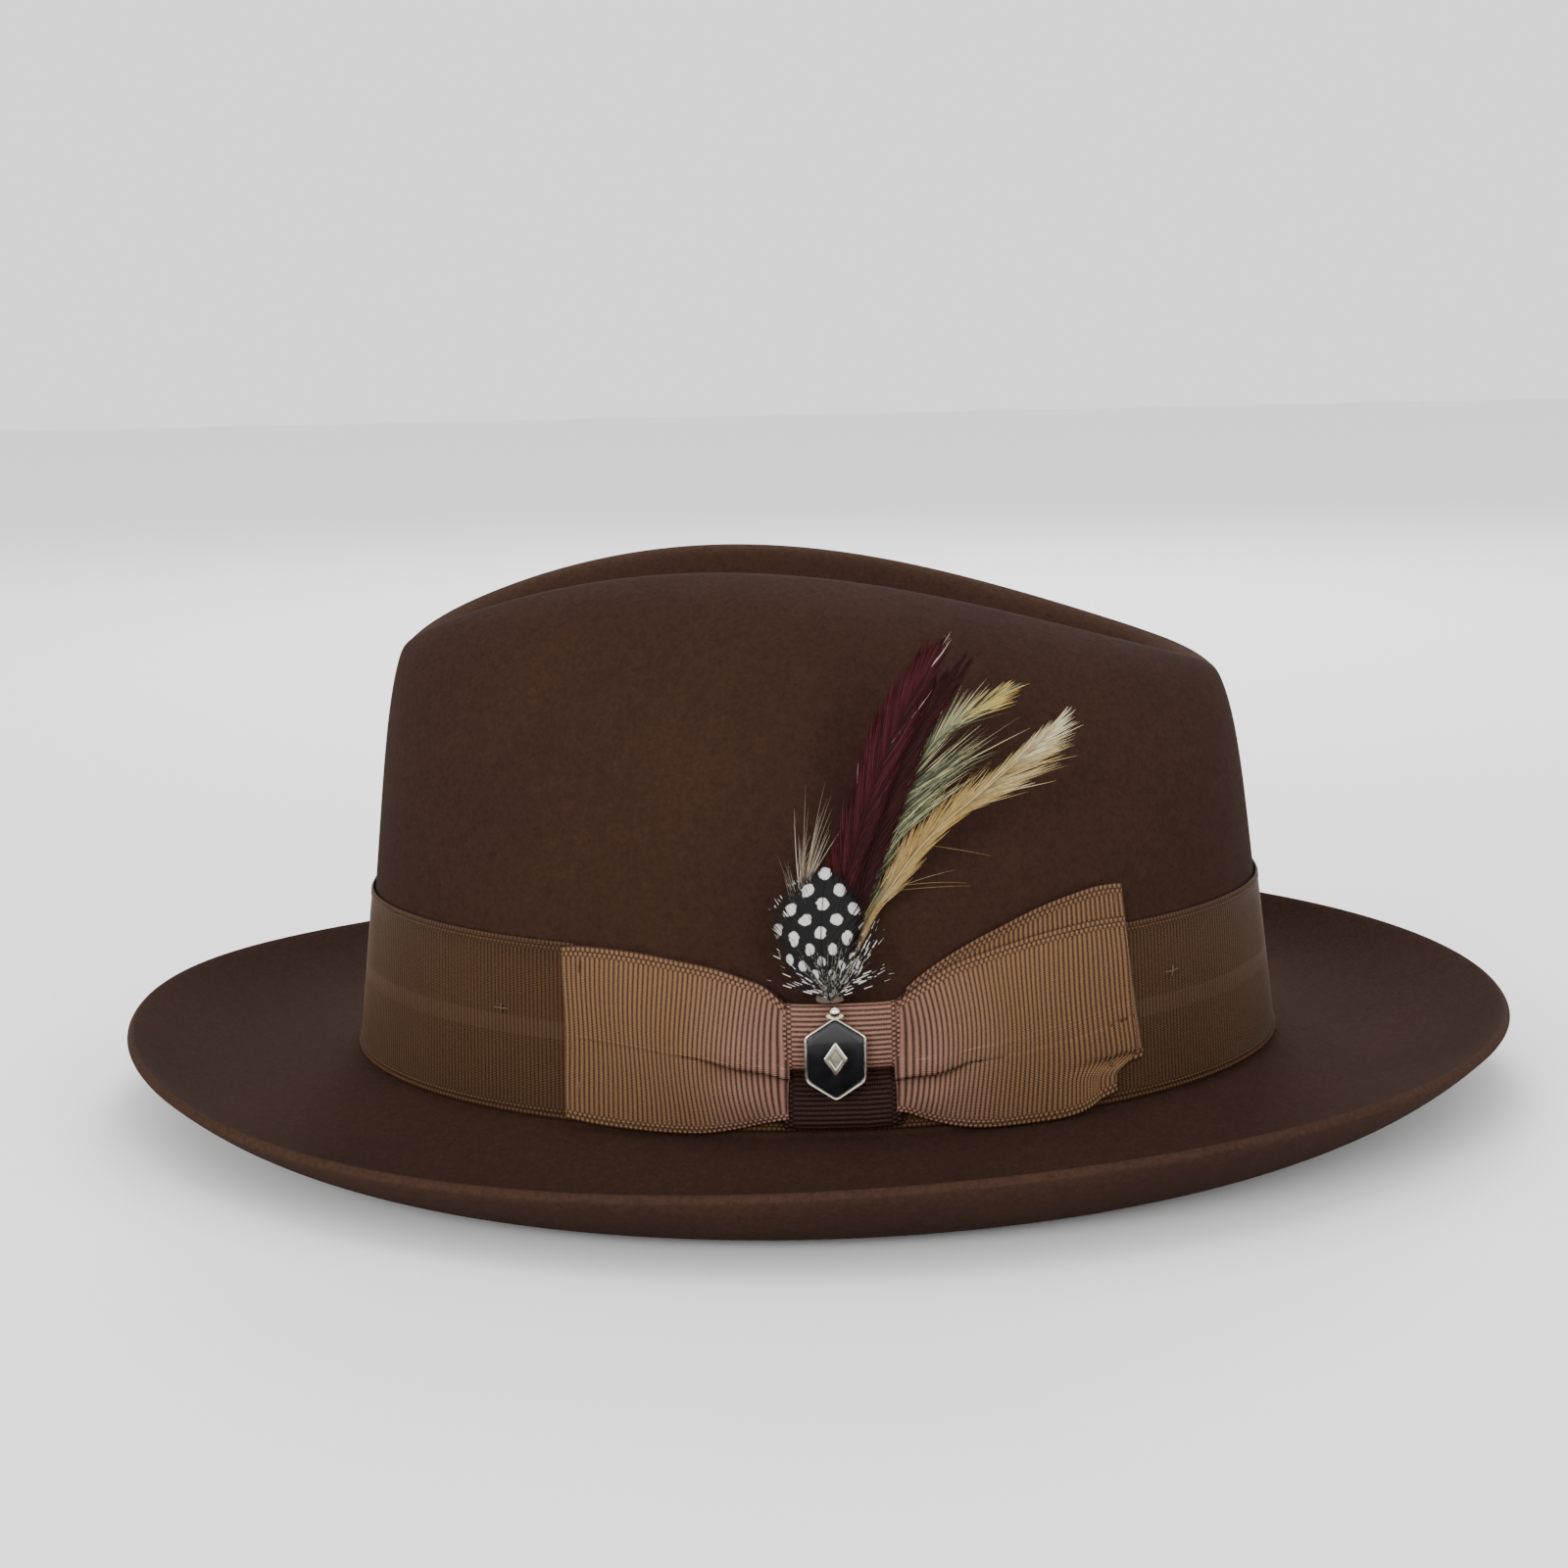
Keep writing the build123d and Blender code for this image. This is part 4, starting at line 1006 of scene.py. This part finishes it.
def make_binding():
    """The quills wound with thread, flat in the pocket and wider below the feathers."""
    rows, sides = 150, 40
    heights = np.linspace(QUILL_FOOT, 29.0, rows)
    thick = np.interp(heights, [18, 26.6, 27.6, 29.0], [0.45, 0.45, 2.3, 2.4])
    wide = np.interp(heights, [18, 26.6, 27.6, 29.0], [1.7, 1.8, 2.7, 2.4])
    middle = np.interp(heights, [18, 26.6, 27.6], [0.5, 0.5, 2.7])
    turn = circle(sides)
    wound = 0.07 * np.cos(2 * np.pi * heights[:, None] / 0.36 + turn[None, :])
    x = PLUME_FOOT + middle[:, None] + (thick[:, None] + wound) * np.cos(turn)
    y = 2.0 + (wide[:, None] + wound) * np.sin(turn)
    points = np.stack([x, y, np.broadcast_to(heights[:, None], x.shape)], -1)
    faces = grid_faces(rows, sides, False, True).tolist()
    faces += [list(range(sides))[::-1], list(range((rows - 1) * sides, rows * sides))]
    material = plain_cloth("binding_thread", (0.10, 0.06, 0.035), (0.03, 0.018, 0.012), 1500)
    make_piece("wound_binding", points, faces, material, "quill_binding", "feather_bunch")


# ---- badge -----------------------------------------------------------------------------------
BADGE_X = float(on_side(2.9, 13.0, 0.0)[0])
BADGE_Y, BADGE_Z = 2.9, 16.4


def hexagon(grow, rounding=6):
    """The badge's outline as (y, z) points round its centre, its corners a little rounded."""
    half_wide, half_high, shoulder = 6.2 + grow, 8.6 + grow, 4.6 + grow * 0.6
    corners = np.array([(0, half_high), (half_wide, shoulder), (half_wide, -shoulder),
                        (0, -half_high), (-half_wide, -shoulder), (-half_wide, shoulder)], float)
    around = np.linspace(0, 6, 144, endpoint=False)
    i, t = around.astype(int), (around % 1)[:, None]
    points = corners[i] * (1 - t) + corners[(i + 1) % 6] * t
    for _ in range(rounding):
        points = (np.roll(points, 1, 0) + 2 * points + np.roll(points, -1, 0)) / 4
    return points


def stacked(rings):
    """A closed surface through rings of (outline, distance from the wall)."""
    points = [np.column_stack([np.full(len(o), BADGE_X + out), BADGE_Y + o[:, 0], BADGE_Z + o[:, 1]])
              for o, out in rings]
    count = len(points[0])
    faces = grid_faces(len(rings), count, False, True).tolist()
    faces += [list(range(count))[::-1], list(range((len(rings) - 1) * count, len(rings) * count))]
    return np.vstack(points), faces


def turned(profile, y, z, count=40):
    """A turned form whose axis is the badge's: profile rows are (radius, distance from the wall)."""
    angle = circle(count)
    disc = np.column_stack([np.cos(angle), np.sin(angle)])
    shift = [y - BADGE_Y, z - BADGE_Z]
    return stacked([(disc * radius + shift, out) for radius, out in profile])


def make_badge():
    silver = metal_material("badge_silver", (0.80, 0.74, 0.62), 0.16)
    rim = [(hexagon(-0.5), 5.9), (hexagon(-0.15), 5.92), (hexagon(0.0), 6.1), (hexagon(0.0), 6.66),
           (hexagon(-0.08), 6.88), (hexagon(-0.26), 7.0), (hexagon(-0.42), 6.98), (hexagon(-0.56), 6.82),
           (hexagon(-0.62), 6.55), (hexagon(-0.62), 6.4), (hexagon(-3.5), 6.4)]
    parts = [stacked(rim)]
    bead = [(1.15 * math.cos(a) + 1e-3, 6.45 + 1.15 * math.sin(a)) for a in np.linspace(-1.45, 1.5, 20)]
    parts.append(turned(bead, BADGE_Y, BADGE_Z + 9.6))
    collar = [(1.5, 6.1), (1.75, 6.3), (1.75, 6.6), (1.5, 6.75)]
    points, faces = turned(collar, BADGE_Y, BADGE_Z + 8.7)
    points[:, 2] = BADGE_Z + 8.7 + (points[:, 2] - BADGE_Z - 8.7) * 0.35
    parts.append((points, faces))
    lozenge = np.column_stack([np.array([0, 1, 0, -1.0]) * 2.5, np.array([1, 0, -1, 0.0]) * 3.7])
    lozenge = np.repeat(lozenge, 2, 0) * np.tile([[0.97], [0.97]], (4, 1))
    lozenge[0::2] += (np.roll(lozenge[0::2], 1, 0) - lozenge[0::2]) * 0.06
    lozenge[1::2] += (np.roll(lozenge[1::2], -1, 0) - lozenge[1::2]) * 0.06
    parts.append(stacked([(lozenge, 6.75), (lozenge, 6.98), (lozenge * 0.9, 7.1), (lozenge * 0.62, 7.1),
                          (lozenge * 0.54, 6.98), (lozenge * 0.54, 6.9)]))
    points, faces = joined(parts)
    make_piece("badge_plaque", points, faces, silver, "badge_plate", "badge_pin", smooth=False)
    dome = [(hexagon(-0.65), 6.41), (hexagon(-0.65), 6.62), (hexagon(-0.8), 6.72), (hexagon(-1.1), 6.78),
            (hexagon(-1.6), 6.80)]
    points, faces = stacked(dome)
    make_piece("badge_enamel_fill", points, faces, enamel_material(), "badge_enamel", "badge_pin",
               smooth=False)
    brass = metal_material("clutch_brass", (0.66, 0.50, 0.26), 0.3)
    for name, material in (("badge_post", silver), ("pin_clutch", brass)):
        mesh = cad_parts[name].data
        mesh.materials.clear()
        mesh.materials.append(material)


# ---- stitches --------------------------------------------------------------------------------
def stitch(start, end, lift, radius=0.17):
    """A short thread that dives in at both ends: start and end are (y, z, distance from the wall)."""
    t = np.linspace(0, 1, 9)[:, None]
    line = np.asarray(start) * (1 - t) + np.asarray(end) * t
    out = line[:, 2] + lift * (np.sin(np.pi * t[:, 0]) ** 0.5) - 0.15
    return tube(on_side(line[:, 0], line[:, 1], out), radius, 8)


def make_tacks():
    thread = plain_cloth("tack_thread", (0.085, 0.043, 0.026), (0.035, 0.017, 0.009), 2500, 0.8, 0.0, 0.00003)
    marks = []
    for y, z in ((-65.6, 21.5), (73.7, 24.8)):
        for part in (stitch((y - 1.5, z, 0.75), (y + 1.5, z + 0.1, 0.75), 0.35),
                     stitch((y, z - 1.0, 0.95), (y + 0.2, z + 1.0, 0.95), 0.3)):
            marks += [part, (part[0] * [-1, 1, 1], part[1])]
    points, faces = joined(marks)
    make_piece("stitches_on_band", points, faces, thread, "band_tacks")
    ends = ((-48.4, 32.5, 2.3), (-49.0, 7.5, 2.2), (59.6, 9.6, 2.3), (60.6, 42.6, 1.7))
    points, faces = joined([stitch((y, z - 1.5, out), (y + 0.15, z + 1.5, out), 0.4) for y, z, out in ends])
    make_piece("stitches_on_bow", points, faces, thread, "bow_tacks")


# ---- inside ----------------------------------------------------------------------------------
def swept(section, count=300, close=True):
    """A strip all the way round: section rows are (distance from the felt, height)."""
    angle = circle(count)
    rows = np.asarray(section, float)
    points = wall_point(angle[:, None], rows[None, :, 1], rows[None, :, 0])
    return angle, points, grid_faces(count, len(rows), True, close).tolist()


def along_wall(angle):
    """Distance round the sweatband at each angle, in millimetres."""
    return run_along(wall_point(angle, 10, -3.5))


def round_the_hat(angle):
    """The whole way round the sweatband, through open-ended angles, in millimetres."""
    return along_wall(np.append(angle, 2 * np.pi))[-1]


def make_sweatband():
    """Thin leather with a rolled upper edge, folded round its reed below."""
    inner, outer = -4.15, -3.15
    upper = [(inner, z) for z in np.linspace(-1.8, 49.4, 40)]
    top = [(-3.95, 49.85), (-3.65, 50.0), (-3.35, 49.85)]
    back = [(outer, z) for z in np.linspace(49.4, -1.8, 30)]
    low = [(-3.35, -2.15), (-3.65, -2.3), (-3.95, -2.15)]
    angle, points, faces = swept(upper + top + back + low, 320)
    turn = angle[:, None]
    height = points[..., 2]
    wave = 0.28 * np.sin(7 * turn + 0.6) * climb(height, 20, 30) + 0.12 * np.sin(19 * turn)
    points[..., 2] += wave * np.clip((height + 2) / 20, 0, 1)
    band = make_piece("leather_sweatband", points, faces, leather_material(), "sweatband")
    round_the_hat(angle) * MM


def make_reed():
    turn = circle(12)
    section = np.column_stack([-3.65 + 0.73 * np.cos(turn), -3.2 + 0.73 * np.sin(turn)])
    _, points, faces = swept(section, 300)
    make_piece("reed_of_sweatband", points, faces, reed_material(), "sweatband_reed")


def make_stitching():
    """A line of single stitches that sink into the leather at both ends."""
    angle = np.linspace(0, 2 * np.pi, 721)
    run = along_wall(angle)
    count = int(run[-1] / 3.4)
    starts = np.interp(np.arange(count) * run[-1] / count, run, angle)
    step = 2.6 / 90
    t = np.linspace(0, 1, 7)
    depth = -4.25 - 0.28 * np.sin(np.pi * t) ** 0.5 + 0.1
    points, faces = joined([tube(wall_point(start + step * t, 3.25, depth), 0.2, 6) for start in starts])
    thread = plain_cloth("sweatband_thread", (0.34, 0.22, 0.12), (0.16, 0.09, 0.05), 2500, weave=0.00003)
    make_piece("stitches_of_sweatband", points, faces, thread, "sweatband_stitching")


def make_tape():
    rows = [(-2.5, z) for z in np.linspace(-0.5, 8.9, 12)]
    angle, points, faces = swept(rows, 300, False)
    length = round_the_hat(angle)
    tape_cloth = plain_cloth("tape_cotton", (0.10, 0.060, 0.038), (0.045, 0.028, 0.018), 1600, 0.85,
                             stretch=(1, 1, 0.35))
    tape = make_piece("tape_of_reed", points, faces, tape_cloth, "reed_tape")
    thicken(tape, CLOTH)


def seam_row():
    """Row of the felt's grid where the lining's tip meets its side."""
    rows = graded(np.linspace(0, 1, WALL_ROWS))
    return DENT_ROWS - 1 + int(np.searchsorted(rows, graded(SEAM_SHARE)))


def make_lining_tip(satin, inner, row):
    """The cap of the lining, a little slack towards its seam."""
    tip = inner[:, 1:row + 1].copy()
    ripple = 0.12 * np.sin(AROUND * 23)[:, None] * np.linspace(0, 1, row)[None, :] ** 3
    tip -= SKIN_NORMALS[:, 1:row + 1] * (0.15 + ripple)[..., None]
    centre = inner[:1, 0] - [0, 0, 0.15]
    points = np.vstack([tip.reshape(-1, 3), centre])
    faces = grid_faces(len(AROUND), row, True).tolist()
    last = len(points) - 1
    faces += [[last, k * row, ((k + 1) % len(AROUND)) * row] for k in range(len(AROUND))]
    cap = make_piece("satin_lining_tip", points, faces, satin, "lining_tip")
    thicken(cap, LINING, 1.0)


def make_lining_side(satin, inner, row):
    """The side of the lining: it follows the wall and is gathered where it meets the tip."""
    rows, foot = 50, 10.2
    wall = inner[:, row:DENT_ROWS - 1 + WALL_ROWS]
    top = wall[:, 0, 2] - 0.3
    z = foot + (top - foot)[:, None] * np.linspace(1, 0, rows)[None, :]
    side = np.stack([np.stack([np.interp(-z[k], -wall[k, :, 2], wall[k, :, c]) for c in (0, 1)] + [z[k]], -1)
                     for k in range(len(AROUND))])
    share = climb(z, 52, 25)
    fold = (0.5 + 0.5 * np.sin(AROUND * 31 + 0.7 * np.sin(AROUND * 5)))[:, None] * share
    inward = -np.stack([np.sin(AROUND) / BASE_X, np.cos(AROUND) / BASE_Y], -1)
    inward /= np.linalg.norm(inward, axis=1, keepdims=True)
    side[..., :2] += inward[:, None, :] * (0.05 + 0.9 * fold * bell(z, 72, 14))[..., None]
    piece = make_piece("satin_lining_side", side, grid_faces(len(AROUND), rows, True), satin,
                       "lining_side")
    length = round_the_hat(AROUND)
    thicken(piece, LINING, 1.0)


def make_lining():
    satin, inner, row = satin_material(), SKIN - SKIN_NORMALS * LINING_IN, seam_row()
    make_lining_tip(satin, inner, row)
    make_lining_side(satin, inner, row)


def make_little_bow():
    """A small satin bow sewn to the sweatband at the centre back."""
    material = plain_cloth("bow_satin", (0.20, 0.115, 0.062), (0.085, 0.045, 0.025), 1200, 0.35, 0.3,
                           stretch=(1, 1, 6))
    parts = []
    turn = circle(48)
    for side in (-1, 1):
        across = np.linspace(-1, 1, 15)
        reach = 5.2 + 4.9 * np.cos(turn)
        narrow = 1.9 + 1.6 * np.clip(reach / 7.0, 0, 1) ** 0.8
        thick = 0.42 * np.sin(turn) * np.clip(reach / 3.0, 0.25, 1)
        angle = side * (reach[:, None] + 0 * across) / BACK_RADIUS
        z = 12.0 + narrow[:, None] * across + 0.25 * np.sin(2.2 * across)[None, :] * (reach[:, None] / 10)
        out = -5.05 - thick[:, None] * (1 - 0.3 * across**2) - 0.12 * np.cos(3 * np.pi * across)
        parts.append((wall_point(angle, z, out).reshape(-1, 3), grid_faces(48, 15, True).tolist()))
    height = circle(36)
    y = np.linspace(-2.0, 2.0, 13)
    z = 12.0 + 2.25 * np.cos(height)[:, None] + 0 * y
    out = -5.2 - 0.85 * np.sin(height)[:, None] * (1 - 0.1 * (y / 2) ** 2) + 0.06 * np.cos(np.pi * y)
    knot = wall_point(y[None, :] / BACK_RADIUS + 0 * z, z, out)
    parts.append((knot.reshape(-1, 3), grid_faces(36, 13, True).tolist()))
    points, faces = joined(parts)
    bow = make_piece("satin_bow_inside", points, faces, material, "sweatband_bow")


# ---- build -----------------------------------------------------------------------------------
set_camera()
set_light()
make_floor()
make_felt()
make_band()
make_front_loop()
make_rear_loop()
make_tail()
make_knot()
make_burgundy()
make_olive()
make_gold()
make_wisps()
make_guinea()
make_binding()
make_badge()
make_tacks()
make_tape()
make_sweatband()
make_reed()
make_stitching()
make_lining()
make_little_bow()
